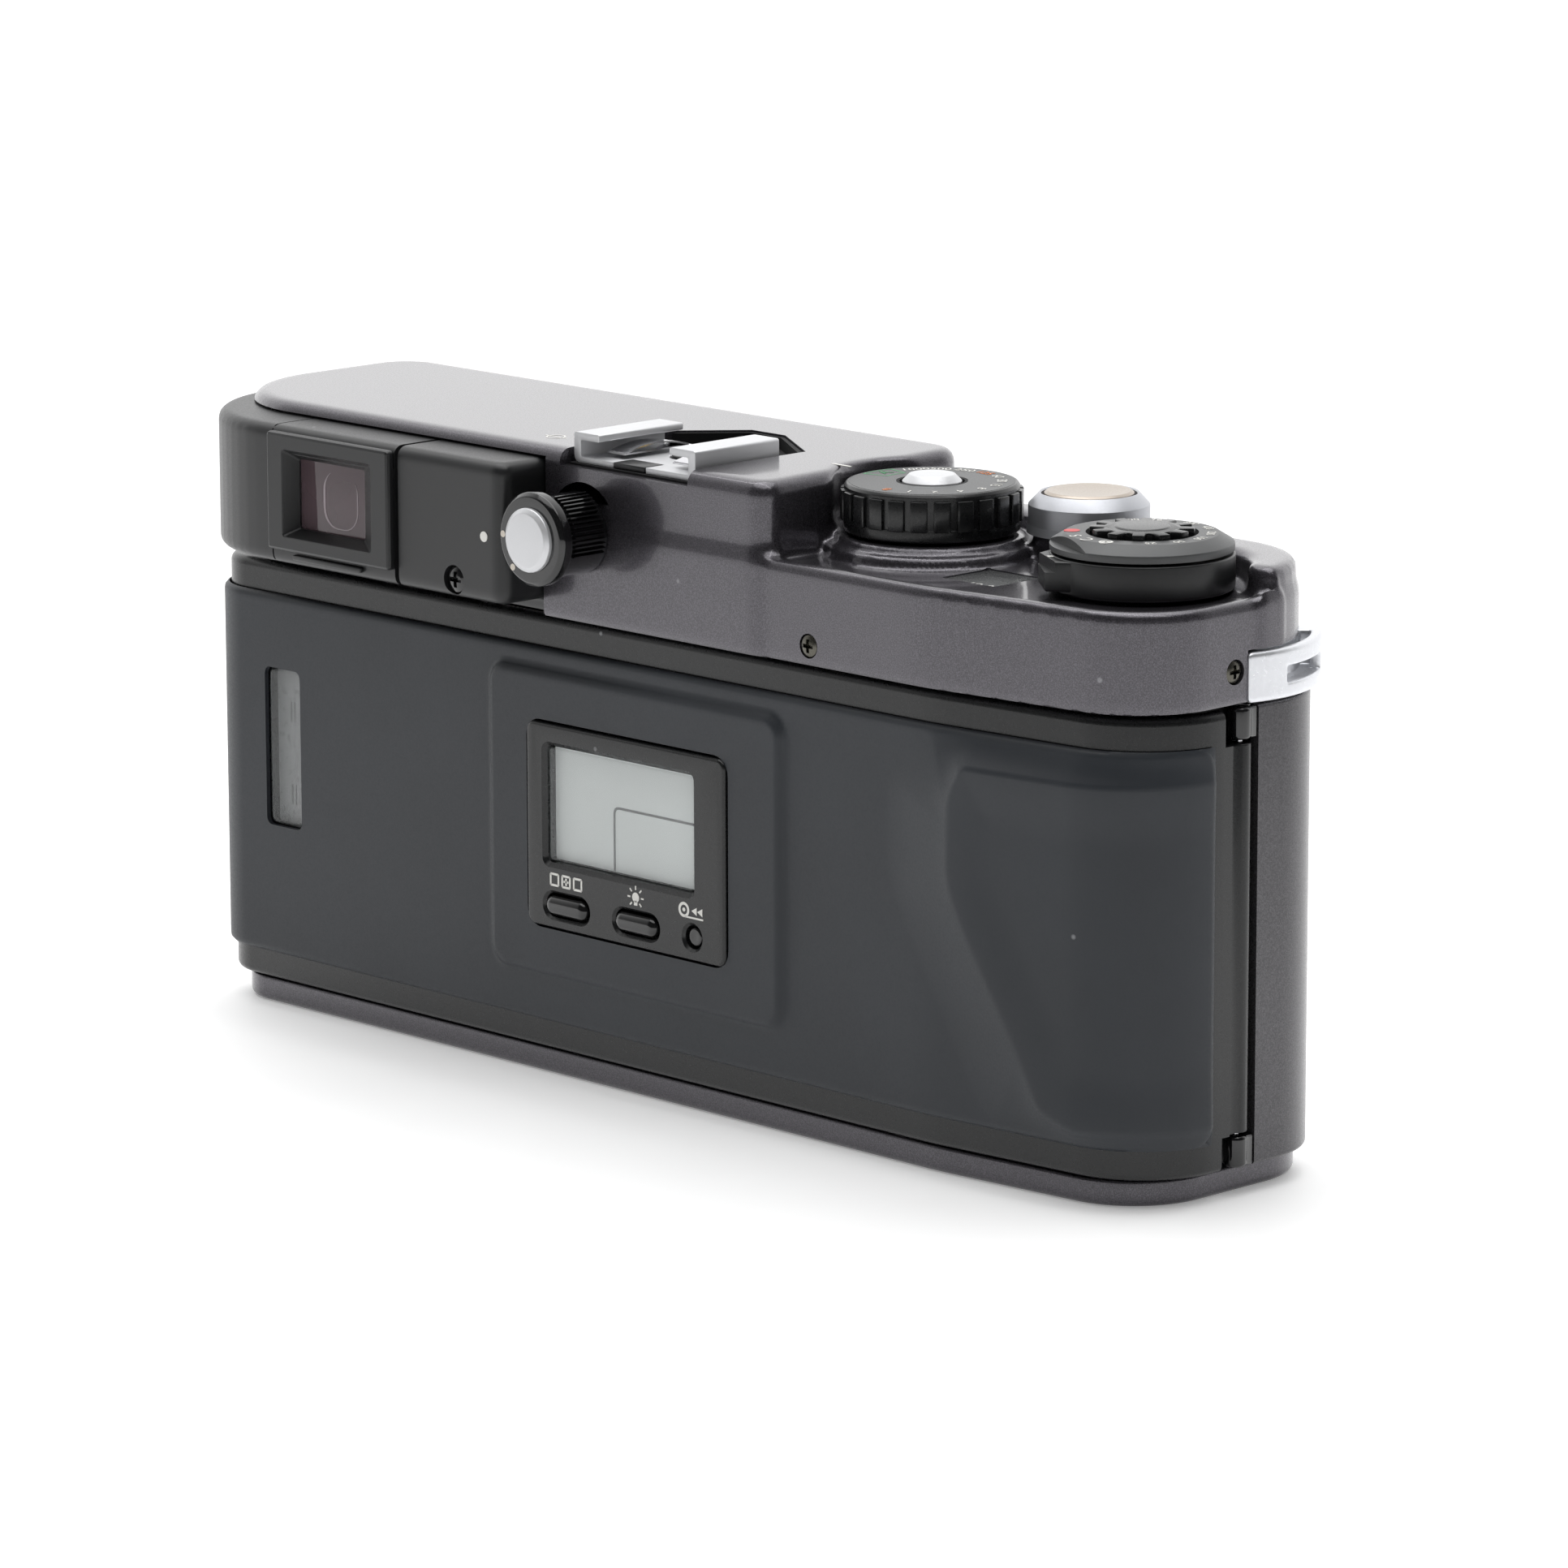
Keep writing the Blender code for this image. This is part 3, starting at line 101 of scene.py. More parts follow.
FINDER_TOP = HOUSING_HIGH.z
FINDER_END = HOUSING_LOW.x   # right end of the eyepiece block
FINDER_CORNER = (63.2, 0.7)
BACK_SCREW = middle_of("cover_screw_1", "xz")
END_SCREW = middle_of("cover_screw_2", "yz")
END_WALL = COVER_LOW.x
WINDOW_LOW, WINDOW_HIGH = node_box("frame_counter_window")
CELL = middle_of("battery_cover", "xy")
TRIPOD = middle_of("tripod_socket", "xy")


# ---------------------------------------------------------------- materials


def nodes_of(material):
    tree = material.node_tree
    return tree, tree.nodes["Principled BSDF"]


def add_node(tree, kind, values, links):
    """A shader node with some inputs set to values and others linked to outputs."""
    node = tree.nodes.new("ShaderNode" + kind)
    for name, value in values.items():
        node.inputs[name].default_value = value
    for name, output in links.items():
        tree.links.new(output, node.inputs[name])
    return node


def object_place(tree):
    return tree.nodes.new("ShaderNodeTexCoord").outputs["Object"]


def link_noise(tree, scale, detail=4.0, roughness=0.55, stretch=(1.0, 1.0, 1.0)):
    """Object-space noise; scale is features per metre, stretch squeezes them along an axis."""
    mapping = add_node(tree, "Mapping", {"Scale": stretch}, {"Vector": object_place(tree)})
    noise = add_node(tree, "TexNoise", {"Scale": scale, "Detail": detail, "Roughness": roughness},
                     {"Vector": mapping.outputs["Vector"]})
    return noise.outputs["Fac"]


def link_range(tree, value, low, high, from_low=0.3, from_high=0.7):
    """A value carried from one range to another."""
    ranges = {"From Min": from_low, "From Max": from_high, "To Min": low, "To Max": high}
    return add_node(tree, "MapRange", ranges, {"Value": value}).outputs["Result"]


def link_mix(tree, share, first, second):
    """Mix two colours; each is a tuple or a socket."""
    mix = tree.nodes.new("ShaderNodeMix")
    mix.data_type = "RGBA"
    tree.links.new(share, mix.inputs["Factor"])
    for socket, colour in ((mix.inputs[6], first), (mix.inputs[7], second)):
        if isinstance(colour, tuple):
            socket.default_value = (*colour[:3], 1.0)
        else:
            tree.links.new(colour, socket)
    return mix.outputs[2]


def scaled(colour, factor):
    return tuple(min(1.0, channel * factor) for channel in colour)


def dust_mask(tree, scale, size):
    """Sparse tiny specks: 1 on a speck, 0 elsewhere."""
    cells = add_node(tree, "TexVoronoi", {"Scale": scale}, {"Vector": object_place(tree)})
    near = link_range(tree, cells.outputs["Distance"], 1.0, 0.0, size * 0.5, size)
    picked = add_node(tree, "SeparateColor", {}, {"Color": cells.outputs["Color"]})
    rare = link_range(tree, picked.outputs["Red"], 0.0, 1.0, 0.80, 0.82)
    both = add_node(tree, "Math", {}, {0: near, 1: rare})
    both.operation = "MULTIPLY"
    return both.outputs["Value"]


def link_bump(tree, shader, height, strength, distance):
    bump = add_node(tree, "Bump", {"Strength": strength, "Distance": distance * MM}, {"Height": height})
    tree.links.new(bump.outputs["Normal"], shader.inputs["Normal"])


DUST_COLOUR = (0.55, 0.56, 0.58)
DUST_SIZE = 0.05              # share of a dust cell


def surface(name, colour, roughness, metallic=0.0, grain=2500.0, bump=0.1, depth=0.02,
            vary=0.10, rough_vary=0.06, stretch=(1.0, 1.0, 1.0), dust=0.0, dust_scale=160.0,
            coat=0.0, specular=0.5, fleck=0.0, fleck_scale=9000.0, sheen=0.0):
    """A finish with fine grain in its colour, roughness and relief, and optional dust."""
    made = bpy.data.materials.new(name)
    made.use_nodes = True
    tree, shader = nodes_of(made)
    for key, value in (("Metallic", metallic), ("Specular IOR Level", specular), ("Coat Weight", coat),
                       ("Coat Roughness", 0.08), ("Sheen Weight", sheen), ("Sheen Roughness", 0.5)):
        shader.inputs[key].default_value = value
    fine = link_noise(tree, grain, 3.0, 0.6, stretch)
    broad = link_noise(tree, 60.0, 3.0, 0.5)
    tone = link_mix(tree, link_range(tree, broad, 0.0, 1.0), scaled(colour, 1.0 - vary),
                    scaled(colour, 1.0 + vary))
    if fleck > 0.0:
        spark = link_noise(tree, fleck_scale, 1.0, 0.5)
        tone = link_mix(tree, link_range(tree, spark, 0.0, 1.0, 0.42, 0.66), tone,
                        scaled(colour, 1.0 + fleck))
    if dust > 0.0:
        specks = dust_mask(tree, dust_scale, DUST_SIZE)
        tone = link_mix(tree, link_range(tree, specks, 0.0, dust, 0.0, 1.0), tone, DUST_COLOUR)
    tree.links.new(tone, shader.inputs["Base Color"])
    rough = link_range(tree, fine, roughness - rough_vary, roughness + rough_vary)
    tree.links.new(rough, shader.inputs["Roughness"])
    link_bump(tree, shader, fine, bump, depth)
    return made


def ink(name, colour, roughness=0.5, vary=0.06):
    """Printed marks."""
    return surface(name, colour, roughness, grain=6000.0, bump=0.05, depth=0.01, vary=vary)


PAINT = surface("grey_metallic_paint", (0.066, 0.062, 0.071), 0.31, metallic=0.75, grain=5200.0,
                bump=0.22, depth=0.018, vary=0.05, fleck=0.75, fleck_scale=7000.0, dust=0.25,
                dust_scale=120.0, coat=0.6)
DARK_PAINT = surface("dark_metallic_paint", (0.058, 0.056, 0.060), 0.30, metallic=0.6, grain=5200.0,
                     bump=0.2, depth=0.018, vary=0.05, fleck=0.8, fleck_scale=6500.0, dust=0.25,
                     dust_scale=120.0, coat=0.2)
BLACK_SATIN = surface("satin_black_enamel", (0.0085, 0.009, 0.0095), 0.30, grain=3000.0, bump=0.08,
                      depth=0.01, vary=0.12, rough_vary=0.05, dust=0.35, dust_scale=140.0, coat=0.1,
                      specular=0.45)
BLACK_GLOSS = surface("gloss_black_enamel", (0.006, 0.006, 0.0065), 0.13, grain=1800.0, bump=0.04,
                      depth=0.008, rough_vary=0.03, coat=0.4, dust=0.2, dust_scale=170.0)
BLACK_MOULDED = surface("moulded_black_plastic", (0.0125, 0.013, 0.0137), 0.36, grain=4200.0, bump=0.14,
                        depth=0.012, vary=0.08, rough_vary=0.05, dust=0.3, dust_scale=150.0)
BLACK_MATTE = surface("matte_black_inner", (0.008, 0.008, 0.009), 0.75, grain=2200.0, bump=0.2, vary=0.2,
                      specular=0.3)
RUBBER = surface("back_rubber", (0.0215, 0.0250, 0.0305), 0.47, grain=3800.0, bump=0.16, depth=0.014,
                 vary=0.09, rough_vary=0.07, dust=0.45, dust_scale=110.0, specular=0.45)
LEATHERETTE = surface("front_leatherette", (0.022, 0.0235, 0.027), 0.55, grain=900.0, bump=0.7,
                      depth=0.12, vary=0.12, rough_vary=0.1, dust=0.3, dust_scale=120.0, specular=0.45)
CHROME = surface("satin_chrome", (0.74, 0.75, 0.77), 0.36, metallic=0.92, grain=3500.0, bump=0.12,
                 depth=0.012, vary=0.04)
ALUMINIUM = surface("satin_aluminium", (0.66, 0.665, 0.68), 0.42, metallic=0.55, grain=4200.0, bump=0.12,
                    depth=0.012, vary=0.03)
POLISHED = surface("polished_steel", (0.62, 0.62, 0.64), 0.20, metallic=1.0, grain=1400.0, bump=0.06,
                   depth=0.01, vary=0.05, rough_vary=0.05)
CAST_SILVER = surface("cast_silver", (0.74, 0.75, 0.78), 0.34, metallic=0.75, grain=2600.0, bump=0.30,
                      depth=0.025, vary=0.06, rough_vary=0.08)
SATIN_GREY = surface("satin_grey_anodise", (0.50, 0.51, 0.54), 0.42, metallic=0.75, grain=4200.0,
                     bump=0.12, depth=0.012, vary=0.05)
CHAMPAGNE = surface("champagne_anodise", (0.44, 0.385, 0.33), 0.34, metallic=0.6, grain=3800.0,
                    depth=0.012, vary=0.04)
BRUSHED = surface("brushed_steel", (0.58, 0.58, 0.60), 0.30, metallic=1.0, grain=900.0, bump=0.16,
                  depth=0.012, vary=0.06, rough_vary=0.08, stretch=(1.0, 12.0, 1.0))
GOLD = surface("gold_contact", (0.85, 0.62, 0.25), 0.22, metallic=1.0, grain=2600.0, bump=0.08,
               depth=0.01)
CAST_BLACK = surface("cast_alloy_black", (0.030, 0.030, 0.032), 0.62, metallic=0.3, grain=1500.0,
                     bump=0.35, depth=0.04, vary=0.15)
CIRCUIT = surface("circuit_board_green", (0.015, 0.10, 0.045), 0.42, grain=700.0, bump=0.2, depth=0.03,
                  vary=0.3)
CELL_LABEL = surface("battery_label", (0.10, 0.22, 0.42), 0.32, metallic=0.2, grain=1200.0, bump=0.05,
                     depth=0.01, vary=0.08, coat=0.4)
DIAL_FACE = surface("dial_face_grey", (0.075, 0.077, 0.078), 0.42, metallic=0.35, grain=5200.0, bump=0.14,
                    depth=0.012, vary=0.06, rough_vary=0.05)
LCD_FACE = surface("lcd_reflector", (0.66, 0.70, 0.69), 0.34, grain=5000.0, bump=0.04, depth=0.005,
                   vary=0.03, rough_vary=0.04)
LCD_INK = surface("lcd_segment", (0.10, 0.105, 0.105), 0.4, grain=4000.0, bump=0.02, depth=0.004,
                  vary=0.05)
WHITE_INK = ink("white_ink", (0.80, 0.79, 0.75), vary=0.05)
CREAM_INK = ink("cream_ink", (0.66, 0.60, 0.52), vary=0.05)
ORANGE_INK = ink("orange_ink", (0.75, 0.22, 0.05))
GREEN_INK = ink("green_ink", (0.05, 0.26, 0.10))
RED_INK = ink("red_ink", (0.62, 0.035, 0.04), 0.45)
OPTIC_MASK = surface("finder_mask", (0.085, 0.072, 0.080), 0.5, grain=2600.0, bump=0.05, depth=0.01)
# painted reflection: the pale pink colour of a thin ring on the eyepiece pane that stands for a glint
PAINTED_EYEPIECE_REFLECTION = surface("painted_eyepiece_reflection", (0.30, 0.25, 0.27), 0.2, grain=2600.0, bump=0.03, depth=0.01,
                     vary=0.15)
SCREW_BLACK = surface("oxide_screw", (0.10, 0.095, 0.08), 0.28, metallic=0.9, grain=2400.0, bump=0.2,
                      depth=0.015, vary=0.25)
SHADE_CLOTH = surface("light_trap_foam", (0.016, 0.016, 0.017), 0.95, grain=1500.0, bump=0.6, depth=0.1,
                      vary=0.3, sheen=0.3)


def clear(name, tint, roughness, waves=0.02):
    """Clear glass or plastic with a faint surface unevenness."""
    made = surface(name, tint, roughness, 0.0, grain=120.0, bump=waves, depth=0.01, vary=0.02,
                   rough_vary=min(0.02, roughness * 0.5))
    shader = nodes_of(made)[1]
    shader.inputs["Transmission Weight"].default_value = 1.0
    shader.inputs["IOR"].default_value = 1.47
    return made


GLASS = clear("coated_glass", (0.90, 0.84, 0.88), 0.012, 0.004)
CLEAR_PLASTIC = surface("clear_plastic", (0.80, 0.82, 0.82), 0.04, grain=120.0, bump=0.004, vary=0.02,
                        rough_vary=0.01)
EYE_GLASS = surface("eyepiece_coating", (0.105, 0.072, 0.082), 0.02, grain=120.0, bump=0.004, vary=0.05,
                    rough_vary=0.01)
for thin, share in ((CLEAR_PLASTIC, 0.10), (EYE_GLASS, 0.85)):
    nodes_of(thin)[1].inputs["Alpha"].default_value = share
FROSTED = clear("frosted_glass", (0.80, 0.82, 0.84), 0.38, 0.2)


def banded(name, period, low, high, roughness):
    """Vertical light and dark bands along X, as a printed film cartridge shows them."""
    made = surface(name, low, roughness, 0.0, grain=1400.0, bump=0.05, depth=0.01)
    tree, shader = nodes_of(made)
    wave = add_node(tree, "TexWave", {"Scale": 1.0 / (period * MM) / 20.0, "Distortion": 0.4},
                    {"Vector": object_place(tree)})
    wave.bands_direction = "X"
    mix = link_mix(tree, wave.outputs["Fac"], low, high)
    tree.links.new(mix, shader.inputs["Base Color"])
    return made


CARTRIDGE = banded("film_cartridge", 2.6, (0.17, 0.175, 0.18), (0.27, 0.275, 0.28), 0.3)


# ---------------------------------------------------------------- outlines


def corners_to_points(corners, steps=10, closed=True):
    """Outline points from (a, b) or (a, b, radius) corners, with round corners as arcs."""
    points = []
    count = len(corners)
    for index, corner in enumerate(corners):
        here = Vector(corner[:2])
        radius = corner[2] if len(corner) > 2 else 0.0
        at_end = not closed and index in (0, count - 1)
        if radius <= 0.0 or at_end:
            points.append(here)
            continue
        before = (Vector(corners[index - 1][:2]) - here).normalized()
        after = (Vector(corners[(index + 1) % count][:2]) - here).normalized()
        half = before.angle(after) / 2
        centre = here + (before + after).normalized() * (radius / math.sin(half))
        start = here + before * radius / math.tan(half) - centre
        end = here + after * radius / math.tan(half) - centre
        sweep = start.angle_signed(end)
        for step in range(steps + 1):
            spoke = start.copy()
            spoke.rotate(Matrix.Rotation(-sweep * step / steps, 2))
            points.append(centre + spoke)
    return points


def ring_points(radius, count, centre=(0.0, 0.0), start=0.0, end=360.0):
    full = abs(end - start) >= 360.0
    spans = count if full else count - 1
    angles = [math.radians(start + (end - start) * step / spans) for step in range(count)]
    return [Vector((centre[0] + radius * math.cos(a), centre[1] + radius * math.sin(a)))
            for a in angles]


def rectangle(low_a, high_a, low_b, high_b, radius, steps=6):
    """A function that gives a rounded rectangle's outline at an inset."""
    def plan(inset=0.0):
        r = max(0.05, radius - inset)
        return corners_to_points([(low_a + inset, low_b + inset, r), (high_a - inset, low_b + inset, r),
                                  (high_a - inset, high_b - inset, r),
                                  (low_a + inset, high_b - inset, r)], steps)
    return plan


def around_box(low, high, margin, radius, axes):
    """A rounded rectangle round a box in two named axes, wider by a margin."""
    (low_a, high_a), (low_b, high_b) = ((getattr(low, axis), getattr(high, axis)) for axis in axes)
    return rectangle(low_a - margin, high_a + margin, low_b - margin, high_b + margin, radius)


def body_plan(inset=0.0, steps=16):
    return corners_to_points([
        (LEFT_END - inset, DOOR_BACK - inset, 7.4 - inset),
        (-50.0, DOOR_BACK - inset, 60.0),
        (RIGHT_END + inset, 15.6 - inset, END_RADIUS - inset),
        (RIGHT_END + inset, GRIP_FRONT + inset, END_RADIUS - inset),
        (-45.0 - inset, GRIP_FRONT + inset, 5.0),
        (-38.0 - inset, FRONT + inset, 4.0),
        (LEFT_END - inset, FRONT + inset, 9.0 - inset)], steps)


def hump_plan(inset=0.0, steps=16):
    return corners_to_points([
        (81.8 - inset, COVER_BACK - inset, 18.6 - inset),
        (-24.0 + inset, COVER_BACK - inset, 2.6),
        (-22.0 + inset, COVER_FRONT + inset, 5.0),
        (81.8 - inset, COVER_FRONT + inset, 6.0)], steps)


def cover_plan(inset=0.0, steps=16):
    return corners_to_points([
        (81.8 - inset, COVER_BACK - inset, 18.6 - inset),
        (-50.0, COVER_BACK - inset, 60.0),
        (-83.2 + inset, 16.4 - inset, 11.0 - inset),
        (-83.2 + inset, COVER_FRONT - 1.0 + inset, 15.0 - inset),
        (-38.0, COVER_FRONT - 1.0 + inset, 20.0),
        (-20.0, COVER_FRONT + inset, 20.0),
        (81.8 - inset, COVER_FRONT + inset, 6.0)], steps)


def base_plan(inset=0.0, steps=16):
    return corners_to_points([
        (80.2 - inset, 17.4 - inset, 7.0 - inset), (-50.0, 17.4 - inset, 60.0),
        (-80.8 + inset, 14.8 - inset, 11.0 - inset), (-80.8 + inset, -18.2 + inset, 11.0 - inset),
        (-45.0 - inset, -18.2 + inset, 5.0), (-38.0 - inset, -12.4 + inset, 4.0),
        (80.2 - inset, -12.4 + inset, 8.0 - inset)], steps)


def lug_sector(side, inner, outer, first=163.0, last=236.0, count=24):
    """Plan of a strap lug: a ring sector around a front corner; side is -1 or 1."""
    start, end = (first, last) if side < 0 else (180.0 - first, 180.0 - last)
    centre = (side * LUG[0], LUG[1])
    return ring_points(outer, count, centre, start, end) + ring_points(inner, count, centre, end, start)


# ---------------------------------------------------------------- mesh helpers

TO_PLANE = {
    "Z": Matrix.Identity(4),
    "Y": Matrix(((1, 0, 0, 0), (0, 0, 1, 0), (0, 1, 0, 0), (0, 0, 0, 1))),
    "X": Matrix(((0, 0, 1, 0), (1, 0, 0, 0), (0, 1, 0, 0), (0, 0, 0, 1))),
}


def placed(name, data):
    """A new object in the scene."""
    obj = bpy.data.objects.new(name, data)
    bpy.context.scene.collection.objects.link(obj)
    return obj


def mesh_from(work, name):
    """A mesh made from a bmesh, which is freed."""
    mesh = bpy.data.meshes.new(name)
    work.to_mesh(mesh)
    work.free()
    return mesh


def work_from(mesh):
    """A bmesh made from a mesh, which is removed."""
    work = bmesh.new()
    work.from_mesh(mesh)
    bpy.data.meshes.remove(mesh)
    return work


def loft(rings, along="Z", looped=False):
    """A solid through rings of (a, b, height), capped at both ends or looped back to the first."""
    work = bmesh.new()
    rows = [[work.verts.new(point) for point in ring] for ring in rings]
    count = len(rows[0])
    for low, high in zip(rows, rows[1:] + (rows[:1] if looped else [])):
        for index in range(count):
            after = (index + 1) % count
            work.faces.new((low[index], low[after], high[after], high[index]))
    if not looped:
        work.faces.new(rows[0][::-1])
        work.faces.new(rows[-1])
    work.transform(TO_PLANE[along])
    bmesh.ops.recalc_face_normals(work, faces=work.faces)
    return work


def rounding(width, steps, flip=False):
    """(inset, height) pairs of a quarter round that starts flush with a wall."""
    turns = [math.pi / 2 * step / steps for step in range(steps + 1)]
    pairs = [(width * (1 - math.cos(t)), width * math.sin(t) - width) for t in turns]
    return [(inset, -height) for inset, height in reversed(pairs)] if flip else pairs


def stacked(plan, levels, along="Z"):
    """A solid through plan(inset) at each (inset, height)."""
    return loft([[(p[0], p[1], height) for p in plan(inset)] for inset, height in levels], along)


def prism(plan, low, high, top=0.0, bottom=0.0, along="Z", steps=4, bottom_steps=None):
    """A prism of plan(inset) with its two end edges rounded by the given widths."""
    levels = [(0.0, low)]
    if bottom > 0.0:
        levels = [(inset, low + rise) for inset, rise in rounding(bottom, bottom_steps or steps, True)]
    if top > 0.0:
        levels += [(inset, high + rise) for inset, rise in rounding(top, steps)]
    else:
        levels.append((0.0, high))
    return stacked(plan, levels, along)


def extruded(outline, low, high, along="Z"):
    return loft([[(p[0], p[1], height) for p in outline] for height in (low, high)], along)


def block(low, high, bevel=0.0, segments=2):
    work = bmesh.new()
    bmesh.ops.create_cube(work, size=1.0)
    size = Vector(high) - Vector(low)
    bmesh.ops.scale(work, vec=size, verts=work.verts)
    bmesh.ops.translate(work, vec=(Vector(high) + Vector(low)) / 2, verts=work.verts)
    return bevelled(work, bevel, segments) if bevel else work


def bevelled(work, width, segments=2, angle=30.0):
    """Round every edge that turns by more than an angle."""
    edges = [edge for edge in work.edges
             if len(edge.link_faces) == 2 and edge.calc_face_angle() > math.radians(angle)]
    bmesh.ops.bevel(work, geom=edges, offset=width, segments=segments, profile=0.5,
                    affect="EDGES", clamp_overlap=True)
    return work


def lathe(corners, centre, along="Z", sides=72, steps=4):
    """A turned solid from (radius, height[, round]) corners that run along its outside."""
    profile = corners_to_points(corners, steps, closed=False)
    closed = corners[0][0] > 0.0
    work = bmesh.new()
    rows = []
    for radius, height in profile:
        if radius < 0.0001:
            rows.append([work.verts.new((0.0, 0.0, height))])
        else:
            rows.append([work.verts.new((p.x, p.y, height)) for p in ring_points(radius, sides)])
    pairs = list(zip(rows, rows[1:])) + ([(rows[-1], rows[0])] if closed else [])
    for upper, lower in pairs:
        for index in range(sides):
            after = (index + 1) % sides
            if len(upper) == 1:
                work.faces.new((upper[0], lower[index], lower[after]))
            elif len(lower) == 1:
                work.faces.new((upper[index], lower[0], upper[after]))
            else:
                work.faces.new((upper[index], lower[index], lower[after], upper[after]))
    if along == "Y":
        work.transform(TO_PLANE["Y"])
        spot = (centre[0], 0.0, centre[1])
    elif along == "X":
        work.transform(TO_PLANE["X"])
        spot = (0.0, centre[0], centre[1])
    else:
        spot = (centre[0], centre[1], 0.0)
    bmesh.ops.translate(work, vec=spot, verts=work.verts)
    bmesh.ops.recalc_face_normals(work, faces=work.faces)
    return work


def cylinder(radius, first, last, centre, along="Z", sides=24):
    return lathe([(0.0, first), (radius, first), (radius, last), (0.0, last)], centre, along, sides)


def cross(place, long, thin, low, high, along="Y"):
    """The two cutters of a screw's cross recess."""
    def corner(a, b, height):
        return (a, height, b) if along == "Y" else (a, b, height)
    return [block(corner(place[0] - wide, place[1] - tall, low),
                  corner(place[0] + wide, place[1] + tall, high))
            for wide, tall in ((long, thin), (thin, long))]


def merged(*works):
    """Several closed shapes in one mesh, side by side."""
    whole = bmesh.new()
    for work in works:
        mesh = mesh_from(work, "part_of_whole")
        whole.from_mesh(mesh)
        bpy.data.meshes.remove(mesh)
    return whole


def as_temporary(work):
    bmesh.ops.triangulate(work, faces=[face for face in work.faces if len(face.verts) > 4])
    return placed("temporary", mesh_from(work, "temporary"))


def combined(work, tools, operation="DIFFERENCE", solver="MANIFOLD"):
    """Cut tools from a solid, or join them to it."""
    base = as_temporary(work)
    others = [as_temporary(tool) for tool in tools]
    for other in others:
        step = base.modifiers.new("step", "BOOLEAN")
        step.operation = operation
        step.solver = solver
        step.object = other
    graph = bpy.context.evaluated_depsgraph_get()
    whole = work_from(bpy.data.meshes.new_from_object(base.evaluated_get(graph)))
    if not whole.faces:
        raise RuntimeError("a boolean left nothing")
    for obj in [base, *others]:
        bpy.data.objects.remove(obj, do_unlink=True)
    return whole


def cut(work, *tools, solver="MANIFOLD"):
    return combined(work, tools, "DIFFERENCE", solver)


def join(work, *tools, solver="MANIFOLD"):
    return combined(work, tools, "UNION", solver)


def piece(name, work, material, body="camera_body", stands_for=(), smooth=38.0):
    """Turn a solid in millimetres into a piece that rides on a body."""
    bmesh.ops.scale(work, vec=(MM, MM, MM), verts=work.verts)
    mesh = mesh_from(work, name)
    obj = placed(name, mesh)
    mesh.materials.append(material)
    mesh.shade_smooth()
    mesh.set_sharp_from_angle(angle=math.radians(smooth))
    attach(obj, body)
    if stands_for:
        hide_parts(*([stands_for] if isinstance(stands_for, str) else stands_for))
    return obj


def turned_about(work, centre, degrees, axis="Z"):
    spin = (Matrix.Translation(centre) @ Matrix.Rotation(math.radians(degrees), 4, axis)
            @ Matrix.Translation(-Vector(centre)))
    work.transform(spin)
    return work


# ---------------------------------------------------------------- cast shapes from distance fields


def polygon_distance(points):
    """A function that gives the signed distance from a closed outline, negative inside."""
    corners = [(float(p[0]), float(p[1])) for p in points]

    def distance(px, py):
        nearest = None
        inside = None
        for (ax, ay), (bx, by) in zip(corners, corners[1:] + corners[:1]):
            ex, ey = bx - ax, by - ay
            length = ex * ex + ey * ey
            if length < 1e-12:
                continue
            wx, wy = px - ax, py - ay
            share = np.clip((wx * ex + wy * ey) / length, 0.0, 1.0)
            gap = (wx - share * ex) ** 2 + (wy - share * ey) ** 2
            crossing = ((ay <= py) != (by <= py))
            if ey != 0.0:
                crossing = crossing & (px < ax + wy / ey * ex)
            else:
                crossing = crossing & False
            nearest = gap if nearest is None else np.minimum(nearest, gap)
            inside = crossing if inside is None else inside ^ crossing
        return np.sqrt(nearest) * np.where(inside, -1.0, 1.0)

    return distance


def slab(flat, z, top, radius):
    """A tall prism with the given plan distance, whose top edge is rounded."""
    side, rise = flat + radius, z - top + radius
    outside = np.sqrt(np.maximum(side, 0.0) ** 2 + np.maximum(rise, 0.0) ** 2)
    return outside + np.minimum(np.maximum(side, rise), 0.0) - radius


def blend_union(first, second, width):
    share = np.clip(0.5 + 0.5 * (second - first) / width, 0.0, 1.0)
    return second * (1 - share) + first * share - width * share * (1 - share)


def blend_cut(solid, tool, width):
    return -blend_union(-solid, tool, width)


def blend_both(first, second, width):
    return -blend_union(-first, -second, width)


